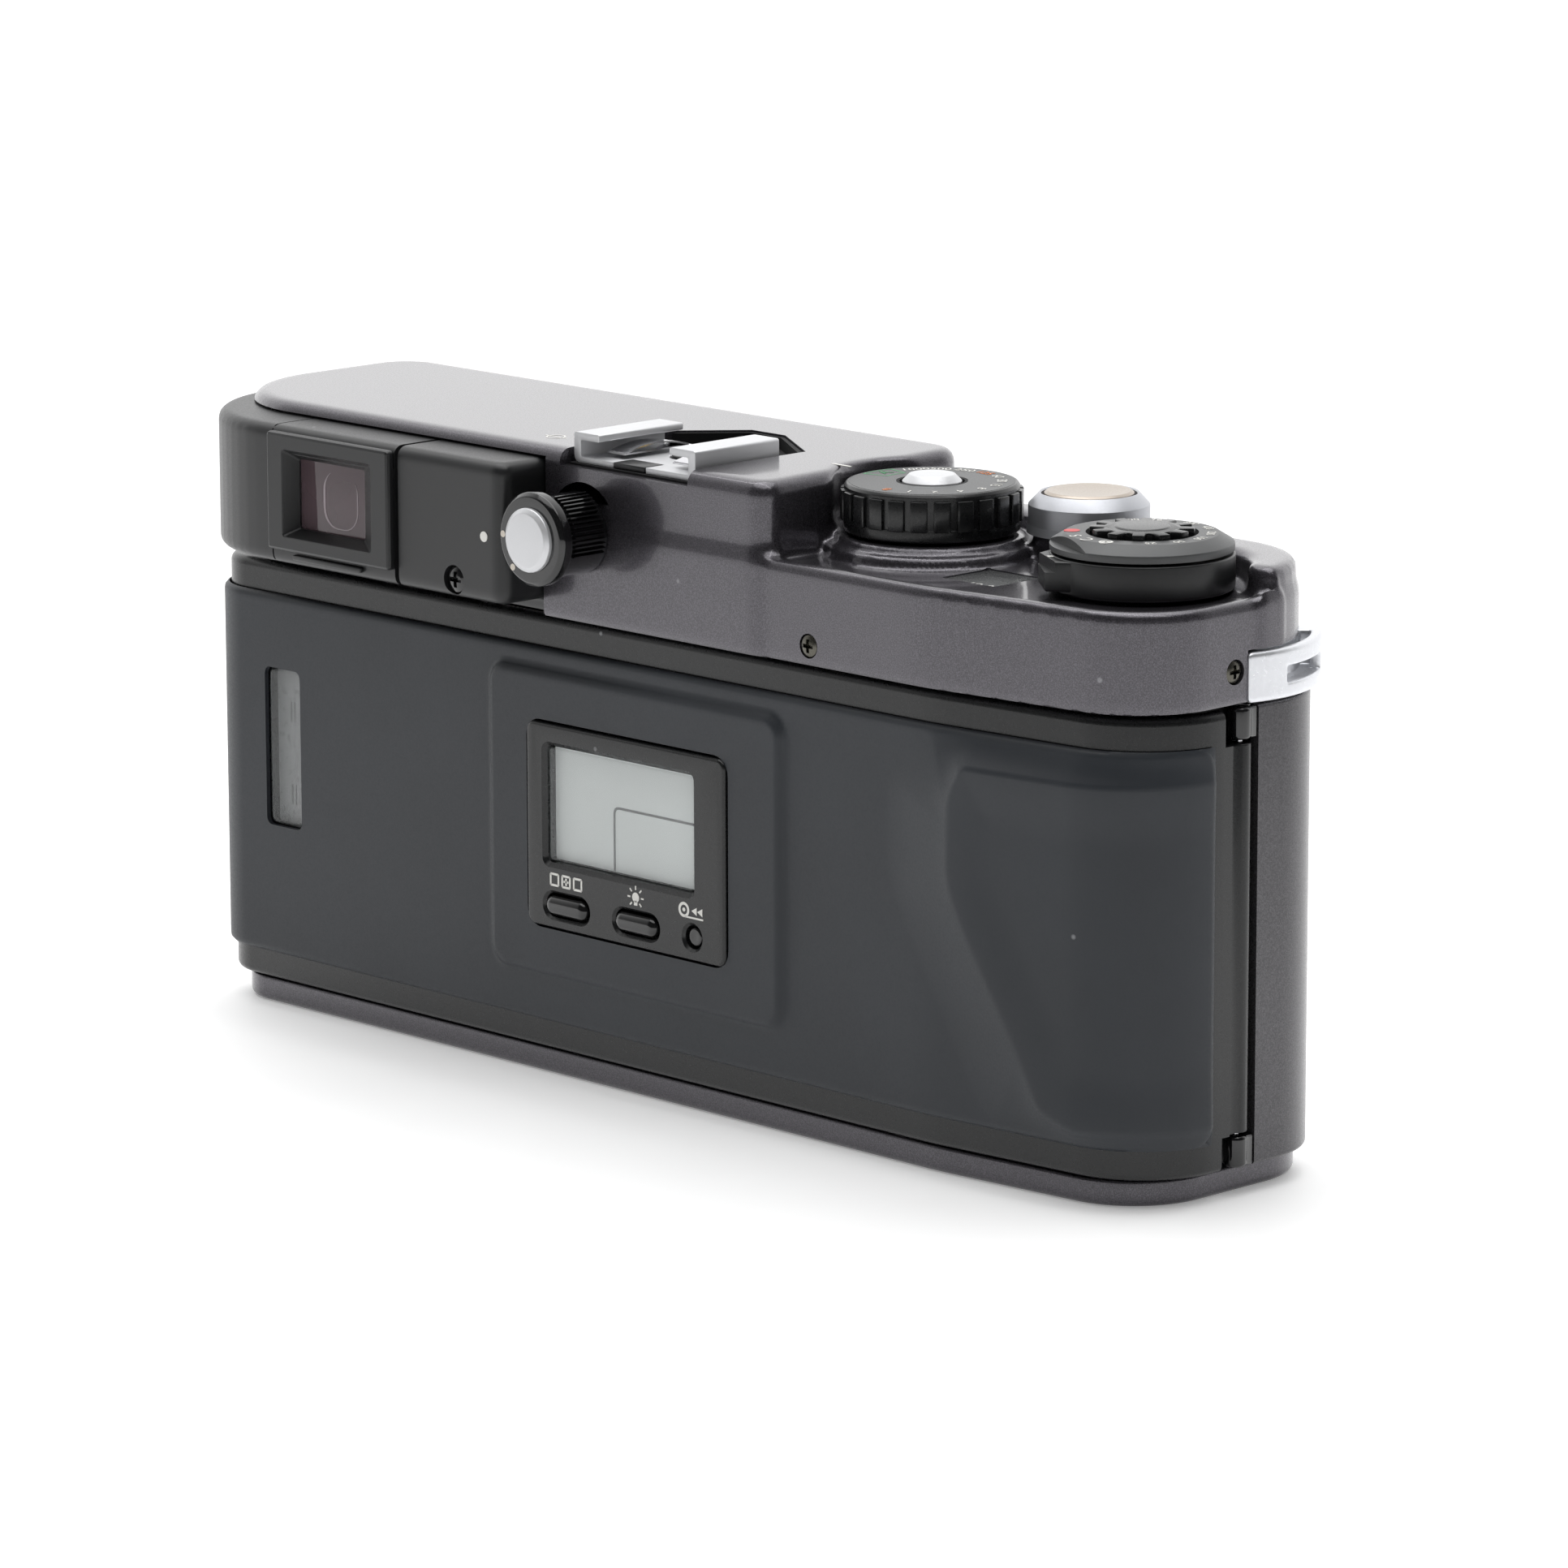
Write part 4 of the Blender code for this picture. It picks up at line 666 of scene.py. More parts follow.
def field_solid(low, high, step, field, smoothing=2):
    """The surface where a distance field is zero, as evenly spaced quads."""
    axes = [np.arange(low[i], high[i] + step, step) for i in range(3)]
    shape = tuple(len(axis) for axis in axes)
    values = np.broadcast_to(
        field(axes[0][:, None, None], axes[1][None, :, None], axes[2][None, None, :]), shape)
    values = np.ascontiguousarray(values, dtype=np.float64)
    total = np.zeros(tuple(n - 1 for n in shape) + (3,))
    crossings = np.zeros(tuple(n - 1 for n in shape))
    cells = [slice(0, n - 1) for n in shape]
    nexts = [slice(1, n) for n in shape]
    for axis in range(3):
        others = [i for i in range(3) if i != axis]
        for first in (0, 1):
            for second in (0, 1):
                near = list(cells)
                near[others[0]] = nexts[others[0]] if first else cells[others[0]]
                near[others[1]] = nexts[others[1]] if second else cells[others[1]]
                far = list(near)
                far[axis] = nexts[axis]
                a, b = values[tuple(near)], values[tuple(far)]
                crossed = (a < 0) != (b < 0)
                gap = np.where(crossed, a - b, 1.0)
                share = np.where(crossed, a / gap, 0.0)
                total[..., axis] += share
                total[..., others[0]] += np.where(crossed, float(first), 0.0)
                total[..., others[1]] += np.where(crossed, float(second), 0.0)
                crossings += crossed
    used = crossings > 0
    number = np.full(used.shape, -1, dtype=np.int64)
    number[used] = np.arange(int(used.sum()))
    where = np.argwhere(used)
    spots = where + total[used] / crossings[used][:, None]
    spots = spots * step + np.array([axis[0] for axis in axes])
    quads = []
    inside = values < 0
    for axis in range(3):
        others = [i for i in range(3) if i != axis]
        near, far = [slice(None)] * 3, [slice(None)] * 3
        near[axis], far[axis] = slice(0, shape[axis] - 1), slice(1, shape[axis])
        for other in others:
            near[other] = far[other] = slice(1, shape[other] - 1)
        changed = inside[tuple(near)] != inside[tuple(far)]
        place = np.argwhere(changed)
        corner = []
        for back_first, back_second in ((0, 0), (1, 0), (1, 1), (0, 1)):
            cell = place.copy()
            cell[:, others[0]] += 1 - back_first
            cell[:, others[1]] += 1 - back_second
            corner.append(number[cell[:, 0], cell[:, 1], cell[:, 2]])
        quads.append(np.stack(corner, axis=1))
    quads = np.concatenate(quads)
    mesh = bpy.data.meshes.new("field")
    mesh.from_pydata(spots.tolist(), [], quads.tolist())
    work = work_from(mesh)
    for _ in range(smoothing):
        bmesh.ops.smooth_vert(work, verts=work.verts, factor=0.5, use_axis_x=True, use_axis_y=True,
                              use_axis_z=True)
    bmesh.ops.recalc_face_normals(work, faces=work.faces)
    return work


# ---------------------------------------------------------------- top cover


COVER_WALL = 1.5
HUMP_WALL = 2.3
RECESS_FLOOR = 78.02


def top_cover_field(x, y, z):
    """Deck with a raised rim, shoulder, dial boss and hump, all melted together as cast."""
    plan = polygon_distance(cover_plan())(x, y)
    deck = slab(plan, z, DECK_RIM, 1.0)
    deck = blend_cut(deck, np.maximum(plan + 2.3, DECK_TOP - z), 0.9)
    speed = np.hypot(x - SPEED_DIAL[0], y - SPEED_DIAL[1])
    mode = np.hypot(x - MODE_DIAL[0], y - MODE_DIAL[1])
    deck = blend_union(deck, slab(speed - 12.7, z, 71.7, 0.5), 0.5)
    deck = blend_union(deck, slab(speed - 11.4, z, 72.8, 0.5), 0.6)
    shoulder_plan = corners_to_points([
        (-83.2, -3.6, 2.0), (-83.2, COVER_FRONT - 1.0, 15.0), (-38.0, COVER_FRONT - 1.0, 20.0),
        (-20.0, COVER_FRONT, 20.0), (-14.0, COVER_FRONT + 0.01), (-14.0, -4.6), (-77.0, -4.6, 3.0)])
    shoulder = slab(polygon_distance(shoulder_plan)(x, y), z, SHOULDER_TOP, 1.2)
    shoulder = blend_cut(shoulder, np.maximum(mode - 12.5, DECK_TOP - z), 1.2)
    shoulder = blend_cut(shoulder, np.maximum(speed - 12.6, DECK_TOP - z), 1.2)
    deck = blend_union(deck, shoulder, 1.6)
    hump = slab(polygon_distance(hump_plan())(x, y), z, HUMP_TOP, 1.7)
    hump = blend_cut(hump, np.maximum(speed - 11.9, 72.4 - z), 0.9)
    whole = blend_union(deck, hump, 1.8)
    return blend_both(whole, COVER_BOTTOM - z, 0.35)


def make_top_cover():
    step = 0.45
    cover = field_solid((-84.6, -18.8, COVER_BOTTOM - 1.2), (83.4, 20.8, HUMP_TOP + 1.2), step,
                        top_cover_field)
    hump_back, hump_front = COVER_BACK - HUMP_WALL, COVER_FRONT + HUMP_WALL
    hump_hollow = corners_to_points([(79.5, hump_back, 16.3), (-16.5, hump_back, 1.0),
                                     (-16.5, hump_front, 1.0), (79.5, hump_front, 4.0)], 4)
    tools = [
        extruded(cover_plan(COVER_WALL, 4), 50.0, DECK_TOP - 2.0),
        extruded(hump_hollow, 50.0, 76.0),
        block((FINDER_END - GAP, 18.3, 50.0), (64.2, 40.0, FINDER_TOP + GAP)),
        extruded(ring_points(40.0, 16, FINDER_CORNER, 90.0, 16.0)
                 + ring_points(17.6, 16, FINDER_CORNER, 16.0, 90.0), 50.0, FINDER_TOP + GAP),
        extruded([(-10.6, 30.0), (-10.6, 0.5), (0.0, -6.3), (5.9, -6.3), (12.1, 0.5), (12.1, 30.0)],
                 78.0, 90.0),
        prism(around_box(WINDOW_LOW, WINDOW_HIGH, 0.35, 0.6, "xy"), 67.0, 90.0),
        cylinder(3.0, 90.0, 60.0, RELEASE),
        cylinder(2.6, 90.0, 60.0, SPEED_DIAL),
        cylinder(2.4, 30.0, 10.0, KNOB, "Y"),
    ]
    tools += [extruded(lug_sector(side, 12.9, 30.0), 50.0, LUG_HIGH + GAP) for side in (-1, 1)]
    front_windows = ((38.0, 58.0, 64.0, 76.0), (16.5, 29.5, 66.0, 75.0), (-6.0, 3.0, 66.0, 73.0))
    tools += [prism(rectangle(*edges, 1.0), -30.0, -10.0, along="Y") for edges in front_windows]
    tools.append(lathe([(0.0, 40.0), (1.62, 40.0), (1.5, COVER_BACK - 0.15), (1.5, COVER_BACK - 6.0),
                        (0.0, COVER_BACK - 6.0)], BACK_SCREW, "Y", 28))
    tools.append(lathe([(0.0, END_WALL + 6.0), (1.5, END_WALL + 6.0), (1.5, END_WALL + 0.15),
                        (1.62, -90.0), (0.0, -90.0)], END_SCREW, "X", 28))
    piece("top_cover_shell", cut(cover, *tools), PAINT, stands_for="top_cover",
          smooth=34.0)
    make_recess_and_marks()


def make_recess_and_marks():
    """The dark lining of the shoe's recess, and the marks on the raised top."""
    piece("shoe_recess_liner", join(
        extruded([(-10.3, 18.9), (-10.3, 0.6), (0.1, -6.0), (5.8, -6.0), (11.8, 0.6), (11.8, 18.9)],
                 RECESS_FLOOR, RECESS_FLOOR + 0.25),
        extruded([(-10.5, 0.6), (0.05, -6.2), (5.85, -6.2), (12.0, 0.6), (12.0, 1.4),
                  (5.7, -5.7), (0.2, -5.7), (-10.5, 1.4)], 78.1, 79.75)), BLACK_MATTE)
    foot, face = HUMP_TOP - 0.1, HUMP_TOP + 0.03
    index_mark = block((-22.4, 4.2, foot), (-19.2, 4.6, face), 0.02, 1)
    film_ring = lathe([(1.25, face), (1.25, foot), (1.02, foot), (1.02, face)], (19.2, 14.4), sides=40)
    film_line = block((17.3, 14.3, foot), (21.1, 14.5, face), 0.02, 1)
    piece("cover_marks", merged(index_mark, film_ring, film_line), WHITE_INK)


# ---------------------------------------------------------------- viewfinder


HOUSING_BACK = 27.2           # face of the eyepiece block
HOUSING_FOOT = 60.9           # underside of its overhang
HOUSING_STEP = 0.36           # a coarser mesh isn't closed, and the cuts then fail


def housing_field(x, y, z):
    outer = corners_to_points([(FINDER_END, HOUSING_BACK, 1.8), (81.4, HOUSING_BACK, 20.0), (81.4, 2.0),
                               (FINDER_END, 2.0)], 16)
    plan = polygon_distance(outer)(x, y)
    body = slab(plan, z, HOUSING_HIGH.z, 1.4)
    body = blend_both(body, slab(plan, -z, -HOUSING_FOOT, 1.2), 0.01)
    skirt_plan = polygon_distance(corners_to_points(
        [(FINDER_END, 19.3, 0.4), (81.8, 19.3, 18.6), (81.8, 2.0), (FINDER_END, 2.0)], 16))(x, y)
    skirt = np.maximum(slab(skirt_plan, z, 66.0, 0.3), HOUSING_LOW.z - z)
    body = blend_union(body, skirt, 0.7)
    inner = polygon_distance(corners_to_points(
        [(81.1, 18.6, 17.9), (6.0, 18.6), (6.0, -10.0), (81.1, -10.0)], 16))(x, y)
    return np.maximum(body, -inner)


def make_viewfinder():
    frame_low, frame_high = node_box("eyepiece_bezel")
    housing = field_solid((FINDER_END - 0.7, 1.4, 58.6), (82.2, 27.9, HOUSING_HIGH.z + 0.7), HOUSING_STEP,
                          housing_field)
    screw = (24.0, 63.1)
    tools = [block((37.6, 21.0, 63.0), (56.6, 40.0, 75.6)),
             lathe([(0.0, 40.0), (1.95, 40.0), (1.85, 27.1), (1.85, 26.2), (0.0, 26.2)], screw, "Y", 40),
             block((70.0, -5.0, 50.0), (90.0, 6.4, 90.0)),
             block((43.2, 26.7, 61.9), (53.6, 30.0, 62.25))]
    for low, high, deep in ((frame_low.x - 0.75, frame_low.x, 0.9),
                            (frame_high.x, frame_high.x + 0.25, 0.4)):
        tools.append(block((low, HOUSING_BACK - deep, 61.0), (high, 40.0, 80.0)))
        tools.append(block((low, 19.6, HOUSING_HIGH.z - deep * 0.7), (high, 40.0, 80.0)))
    piece("viewfinder_block", cut(housing, *tools), BLACK_MOULDED, stands_for="viewfinder_housing",
          smooth=34.0)
    piece("eyepiece_tab", block((41.0, 26.9, 61.8), (54.0, 27.75, 62.5), 0.2, 3), BLACK_MOULDED)
    make_phillips("finder_screw", screw, 27.05, 1.72, BLACK_GLOSS)
    piece("format_index_dot", lathe([(0.0, 27.28), (0.65, 27.28, 0.02), (0.65, 27.0), (0.0, 27.0)],
                                    (18.35, 69.2), "Y", 32), WHITE_INK)
    make_eyepiece(frame_low, frame_high)
    make_front_windows()
    dress("beam_splitter_prism", GLASS, 0.15)


def make_eyepiece(frame_low, frame_high):
    """The frame round the eyepiece, its pane and the lens that shows behind it, with a painted reflection on
    the pane and a painted glow behind the lens.
    """
    frame_outline = around_box(frame_low, frame_high, 0.0, 0.5, "xz")
    mouth = rectangle(38.2, 55.2, 64.7, 75.9, 0.5)
    opening = rectangle(41.8, 54.3, 65.6, 74.5, 0.4)
    sleeve = rectangle(38.0, 56.2, 63.4, 75.2, 0.4)
    rings = [(frame_outline, 0.0, 27.3), (frame_outline, 0.0, 27.85), (frame_outline, 0.12, 28.15),
             (frame_outline, 0.4, 28.3), (mouth, -0.05, 28.3), (mouth, 0.06, 28.2), (opening, 0.0, 26.05),
             (opening, -0.02, 25.95), (opening, -0.02, 25.3), (sleeve, 0.0, 25.3), (sleeve, 0.0, 27.3)]
    bezel = loft([[(p[0], p[1], height) for p in plan(inset)] for plan, inset, height in rings], "Y",
                 looped=True)
    piece("eyepiece_frame", bezel, BLACK_MOULDED, stands_for="eyepiece_bezel",
          smooth=9.0)
    piece("eyepiece_pane", prism(rectangle(41.5, 54.6, 65.3, 74.8, 0.3), 25.35, 25.8, 0.08, 0.08, "Y"),
          EYE_GLASS, stands_for="eyepiece_glass")
    # A thin pale ring on the pane's face: a painted reflection on the glass, not a part
    arc = cut(prism(rectangle(43.4, 50.0, 66.3, 73.6, 2.6), 25.78, 25.84, along="Y"),
              prism(rectangle(43.6, 49.6, 66.45, 73.75, 2.4), 25.0, 26.5, along="Y"))
    piece("eyepiece_painted_reflection_arc", arc, PAINTED_EYEPIECE_REFLECTION)
    mask = cut(prism(rectangle(38.2, 56.0, 63.5, 75.1, 0.4), 24.6, 24.9, along="Y"),
               prism(rectangle(42.6, 53.2, 66.1, 74.1, 0.7), 20.0, 30.0, along="Y"))
    piece("eyepiece_mask", mask, OPTIC_MASK)
    lens_axis = (48.4, 70.1)
    lens = lathe([(0.0, 24.35), (2.5, 24.22), (4.4, 23.85), (4.55, 23.6), (4.55, 23.2), (0.0, 23.2)],
                 lens_axis, "Y", 64)
    piece("eyepiece_lens", lens, EYE_GLASS)
    ring = lathe([(4.7, 24.1), (5.2, 24.15, 0.1), (5.2, 23.2), (4.7, 23.2)], lens_axis, "Y", 64)
    piece("eyepiece_lens_ring", ring, POLISHED)
    # painted glow: a pale pink sheet behind the lens whose colour stands for the light seen through the
    # finder
    piece("finder_painted_glow_sheet", prism(rectangle(40.4, 55.6, 64.6, 75.0, 0.6), 22.9, 23.0, along="Y"),
          surface("painted_finder_glow", (0.30, 0.215, 0.235), 0.3, 0.0, grain=400.0, bump=0.02, vary=0.25))


def make_front_windows():
    windows = (("viewfinder_window", GLASS, 0.8), ("illumination_window", FROSTED, 0.6),
               ("rangefinder_window", GLASS, 0.6))
    for name, material, radius in windows:
        low, high = node_box(name)
        pane = prism(around_box(low, high, 0.0, radius, "xz"), low.y, high.y, 0.2, 0.3, "Y")
        piece(name + "_pane", pane, material, stands_for=name)
        border = cut(prism(around_box(low, high, 0.2, radius, "xz"), low.y + 1.3, low.y + 2.6, along="Y"),
                     prism(around_box(low, high, -0.9, radius, "xz"), low.y - 5.0, low.y + 5.0, along="Y"))
        piece(name + "_mask", border, BLACK_MATTE)
    low, high = node_box("illumination_window")
    ribs = [block((low.x + 0.8 + 0.85 * i, high.y - 0.02, low.z + 0.7),
                  (low.x + 1.2 + 0.85 * i, high.y + 0.25, high.z - 0.7), 0.1) for i in range(13)]
    piece("illumination_ribs", merged(*ribs), FROSTED)


def dress(name, material, bevel=0.0, segments=2):
    """Give a CAD node its finish, with its edges broken by a modifier."""
    obj = NODES[name]
    obj.data.materials.clear()
    obj.data.materials.append(material)
    if bevel > 0.0:
        weld = obj.modifiers.new("weld", "WELD")
        weld.merge_threshold = 0.00001
        edge = obj.modifiers.new("edge", "BEVEL")
        edge.width = bevel * MM
        edge.segments = segments
        edge.limit_method = "ANGLE"
        edge.angle_limit = math.radians(32)
        edge.use_clamp_overlap = True
    return obj


def make_phillips(name, place, face, radius, material, stands_for=(), depth=2.0, dome=0.3, turn=0.0):
    """A cross-head screw whose domed head faces +Y, then turned about the origin's Z axis."""
    head = lathe([(0.0, face), (radius * 0.55, face - dome * 0.25), (radius * 0.92, face - dome, 0.1),
                  (radius, face - dome - 0.25), (radius, face - depth), (0.0, face - depth)],
                 place, "Y", 40)
    arms = cross(place, radius * 0.58, radius * 0.17, face - 0.75, face + 1.0)
    screw = turned_about(cut(head, *arms), (0.0, 0.0, 0.0), turn)
    return piece(name, screw, material, stands_for=stands_for)


# ---------------------------------------------------------------- shells


def make_front_cover():
    shell = prism(body_plan, BODY_BOTTOM, BODY_TOP, 0.4, 0.5)
    boss = lathe([(0.0, -18.9), (MOUNT_RADIUS + 0.8, -18.9, 0.5), (MOUNT_RADIUS + 0.8, -15.6, 1.5),
                  (MOUNT_RADIUS + 2.4, -13.8, 0.8), (MOUNT_RADIUS + 2.4, FRONT + 0.5),
                  (0.0, FRONT + 0.5)], OPTICAL, "Y", 96)
    shell = join(shell, boss, solver="EXACT")
    behind = [(-95.0, HINGE[1] - 2.0), (-60.0, HINGE[1] - 2.0), (-60.0, 7.6), (95.0, 7.6), (95.0, 30.0),
              (-95.0, 30.0)]
    shell = cut(shell, extruded(body_plan(SHEET, 8), -1.0, 70.0), extruded(behind, -1.0, 70.0),
                solver="EXACT")
    pin_bore = cylinder(0.75, 57.6, 4.6, HINGE)
    knuckles = []
    for low, high in ((BODY_BOTTOM, 7.4), (54.6, BODY_TOP)):
        knuckle = lathe([(0.0, high), (HINGE_RADIUS, high, 0.5), (HINGE_RADIUS, low, 0.5),
                         (0.0, low)], HINGE, sides=40)
        web = block((-82.95, -2.1, low + 0.05), (-81.6, -0.4, high - 0.05), 0.3, 3)
        knuckles.append(cut(join(knuckle, web, solver="EXACT"), pin_bore.copy(), solver="EXACT"))
    piece("hinge_knuckles", merged(*knuckles), BLACK_GLOSS)
    tools = [pin_bore,
             cylinder(24.3, 0.0, -25.0, OPTICAL, "Y", 72),
             cylinder(2.9, 0.0, -25.0, (25.0, 9.5), "Y", 32),
             block((78.0, -3.1, 34.6), (85.0, 0.9, 46.4))]
    tools += [cylinder(2.7, 90.0, 70.0, (-4.2, z), "X", 32) for z in (50.0, 24.0)]
    piece("front_shell", cut(shell, *tools, solver="EXACT"), DARK_PAINT, stands_for="front_cover")


def make_front_skins():
    """Leather-like skins on the front, each with a softly rounded rim."""
    for name, low_x, high_x in (("grip_rubber", -75.6, -27.6), ("front_rubber", 28.8, 90.0)):
        skin = prism(lambda inset: body_plan(inset - GAP - 0.7), 7.0, 55.0, 0.45, 0.45)
        tools = [extruded(body_plan(-GAP, 10), 0.0, 70.0),
                 block((-95.0, -7.0, 0.0), (95.0, 40.0, 70.0)),
                 block((-120.0, -40.0, 0.0), (low_x, 40.0, 70.0)),
                 block((high_x, -40.0, 0.0), (120.0, 40.0, 70.0))]
        piece(name + "_skin", cut(skin, *tools, solver="EXACT"), LEATHERETTE, stands_for=name)


def make_bottom_plate():
    plate = prism(base_plan, BASE_LOW.z, BASE_HIGH.z, 0.35, 0.9, steps=3, bottom_steps=5)
    tools = [cylinder(5.0, 5.0, -1.0, TRIPOD, sides=48),
             lathe([(0.0, 5.0), (8.9, 5.0), (8.9, 0.4), (9.3, -0.2), (9.3, -1.0), (0.0, -1.0)], CELL,
                   sides=64)]
    screws = ((72.0, 10.5), (72.0, -6.5), (-30.0, 12.5), (-30.0, -8.0), (-74.0, 8.0))
    sink = [(0.0, 2.0), (1.3, 2.0), (2.1, -0.2), (2.1, -1.0), (0.0, -1.0)]
    tools += [lathe(sink, spot, sides=32) for spot in screws]
    piece("base_plate", cut(plate, *tools, solver="EXACT"), PAINT, stands_for="bottom_plate")
    for index, spot in enumerate(screws):
        head = lathe([(0.0, 0.15), (1.4, 0.25), (1.95, 0.45, 0.1), (1.2, 1.9), (0.0, 1.9)], spot, sides=40)
        arms = cross(spot, 1.05, 0.22, -1.0, 0.9, "Z")
        piece("base_screw_%d" % (index + 1), cut(head, *arms, solver="EXACT"), BLACK_GLOSS)
    bush = lathe([(3.2, 6.0), (4.7, 6.0), (4.7, 0.15, 0.1), (3.9, 0.12, 0.1), (3.2, 0.6)]
                 + [(3.2 + 0.35 * (i % 2), 0.9 + 0.32 * i) for i in range(15)], TRIPOD, sides=64)
    piece("tripod_bush", bush, POLISHED, stands_for="tripod_socket")
    ring = lathe([(0.0, 4.2), (7.4, 4.2), (7.4, 2.2), (8.6, 2.2), (8.6, 0.35, 0.3), (7.5, 0.3, 0.3),
                  (7.1, 0.75), (0.0, 0.75)], CELL, sides=72)
    slot = block((CELL[0] - 6.0, CELL[1] - 0.9, -1.0), (CELL[0] + 6.0, CELL[1] + 0.9, 1.5))
    piece("battery_cap", cut(ring, slot, solver="EXACT"), BLACK_SATIN, "battery_cap",
          stands_for="battery_cover")


# ---------------------------------------------------------------- back door


def make_door():
    door = prism(body_plan, BODY_BOTTOM, BODY_TOP, 1.1, 0.9, steps=7, bottom_steps=6)
    before = [(-95.0, 2.1), (-60.0, 2.1), (-60.0, 8.0), (95.0, 8.0), (95.0, -40.0), (-95.0, -40.0)]
    door = cut(door, extruded(body_plan(SHEET, 8), -1.0, 70.0), extruded(before, -1.0, 70.0),
               solver="EXACT")
    low, high = 7.8, 54.2
    barrel = lathe([(0.0, high), (HINGE_RADIUS, high, 0.2), (HINGE_RADIUS, low, 0.2), (0.0, low)],
                   HINGE, sides=40)
    web = block((-82.95, 0.4, low + 0.05), (-81.6, 3.2, high - 0.05), 0.15)
    door = join(door, barrel, web, block((78.4, 8.6, 41.2), (81.4, 10.8, 44.6), 0.2), solver="EXACT")
    tools = [cylinder(0.75, 70.0, 0.0, HINGE),
             prism(rectangle(-12.2, 16.2, 27.2, 43.4, 0.6), 10.0, 40.0, along="Y"),
             prism(rectangle(63.0, 69.6, 24.4, 44.9, 0.6), 10.0, 40.0, along="Y")]
    tools += [prism(rectangle(-90.0, -80.0, -5.0, 3.4, 0.5), z - 2.3, z + 2.3) for z in (56.5, 5.4)]
    piece("door_panel", cut(door, *tools, solver="EXACT"), BLACK_SATIN, "door", "back_door")
    make_film_plate()


def make_film_plate():
    """The light seals, the pressure plate with its springs, and the hinge pin."""
    seals = [block((-36.0, 16.35, z - 0.8), (56.0, 17.0, z + 0.8), 0.2) for z in (6.0, 56.2)]
    piece("door_light_seal", merged(*seals), SHADE_CLOTH, "door")
    plate = prism(rectangle(-34.0, 35.5, 16.4, 45.6, 1.2), 13.7, 14.8, 0.25, 0.25, "Y")
    dimples = [cylinder(2.2, 20.0, 14.5, (x, z), "Y", 32)
               for x in (-26.0, -13.0, 0.75, 14.5, 27.5) for z in (22.0, 40.0)]
    piece("film_pressure_plate", cut(plate, *dimples), BLACK_SATIN, "film_plate", "pressure_plate")
    springs = []
    for side in (-1, 1):
        points = [(0.75 + side * 2.0, 15.0), (0.75 + side * 12.0, 16.6), (0.75 + side * 22.0, 15.0)]
        springs.append(extruded(points + [(x, y + 0.2) for x, y in reversed(points)], 29.0, 33.0))
    piece("pressure_leaf_springs", merged(*springs), BRUSHED, "film_plate")
    dress("hinge_pin", POLISHED)


THUMB_CREST = [(-56.9, 50.6, 1.5), (-55.0, 46.5, 5.0), (-54.8, 36.0, 12.0), (-57.7, 30.5, 10.0),
               (-65.0, 18.6, 30.0), (-68.6, 11.2, 3.0), (-73.0, 9.6, 3.0), (-110.0, 9.6),
               (-110.0, 50.6)]
THUMB_FOOT = [(-50.5, 54.4, 2.0), (-43.6, 47.5, 6.0), (-43.7, 35.5, 12.0), (-49.7, 25.0, 20.0),
              (-57.0, 11.8, 8.0), (-60.4, 7.4, 1.0), (-110.0, 7.4), (-110.0, 54.4)]
PAD = (-26.6, 26.5, 13.0, 52.4)       # the raised pad: low and high run, low and high z
SKIN_LOW, SKIN_HIGH = 7.3, 54.6
SKIN_START_Y = 10.4
SKIN_THICKNESS = 0.62
PAD_RISE = 0.85
THUMB_RISE = 2.15
END_THINNING = 0.62           # share of the height that is lost where the skin faces -X


def skin_path(spacing):
    """Evenly spaced (x, y, normal x, normal y, run) from the door's left end round its right."""
    plan = body_plan(-GAP, 24)
    count = len(plan)
    start = min(range(count), key=lambda i: (abs(plan[i].x - LEFT_END - GAP) > 0.01, -plan[i].y))
    order = [plan[(start + i) % count] for i in range(count)]
    if order[1].y < order[0].y:
        order = [plan[(start - i) % count] for i in range(count)]
    path = [Vector((order[0].x, SKIN_START_Y)), *order]
    dense = []
    for a, b in zip(path, path[1:]):
        steps = max(1, int((b - a).length / 0.05))
        dense += [a.lerp(b, i / steps) for i in range(steps)]
    run = [0.0]
    for a, b in zip(dense, dense[1:]):
        run.append(run[-1] + (b - a).length)
    stop = next(i for i, p in enumerate(dense) if p.x < -80.0 and p.y < 5.5)
    total = run[stop]
    columns = int(total / spacing)
    rows = []
    middle = min(range(len(dense)), key=lambda i: abs(dense[i].x) + (dense[i].y < 0) * 999.0)
    for column in range(columns + 1):
        target = total * column / columns
        index = next(i for i in range(len(run)) if run[i] >= target - 1e-9)
        p = dense[index]
        before, after = dense[max(0, index - 4)], dense[min(len(dense) - 1, index + 4)]
        along = (after - before).normalized()
        rows.append((p.x, p.y, along.y, -along.x, run[middle] - run[index]))
    return rows, total


def smooth_step(value):
    value = np.clip(value, 0.0, 1.0)
    return value * value * (3.0 - 2.0 * value)


def corner_distance(side, rise):
    """Distance past a corner, negative inside it."""
    return np.hypot(np.maximum(side, 0.0), np.maximum(rise, 0.0)) + np.minimum(np.maximum(side, rise), 0.0)


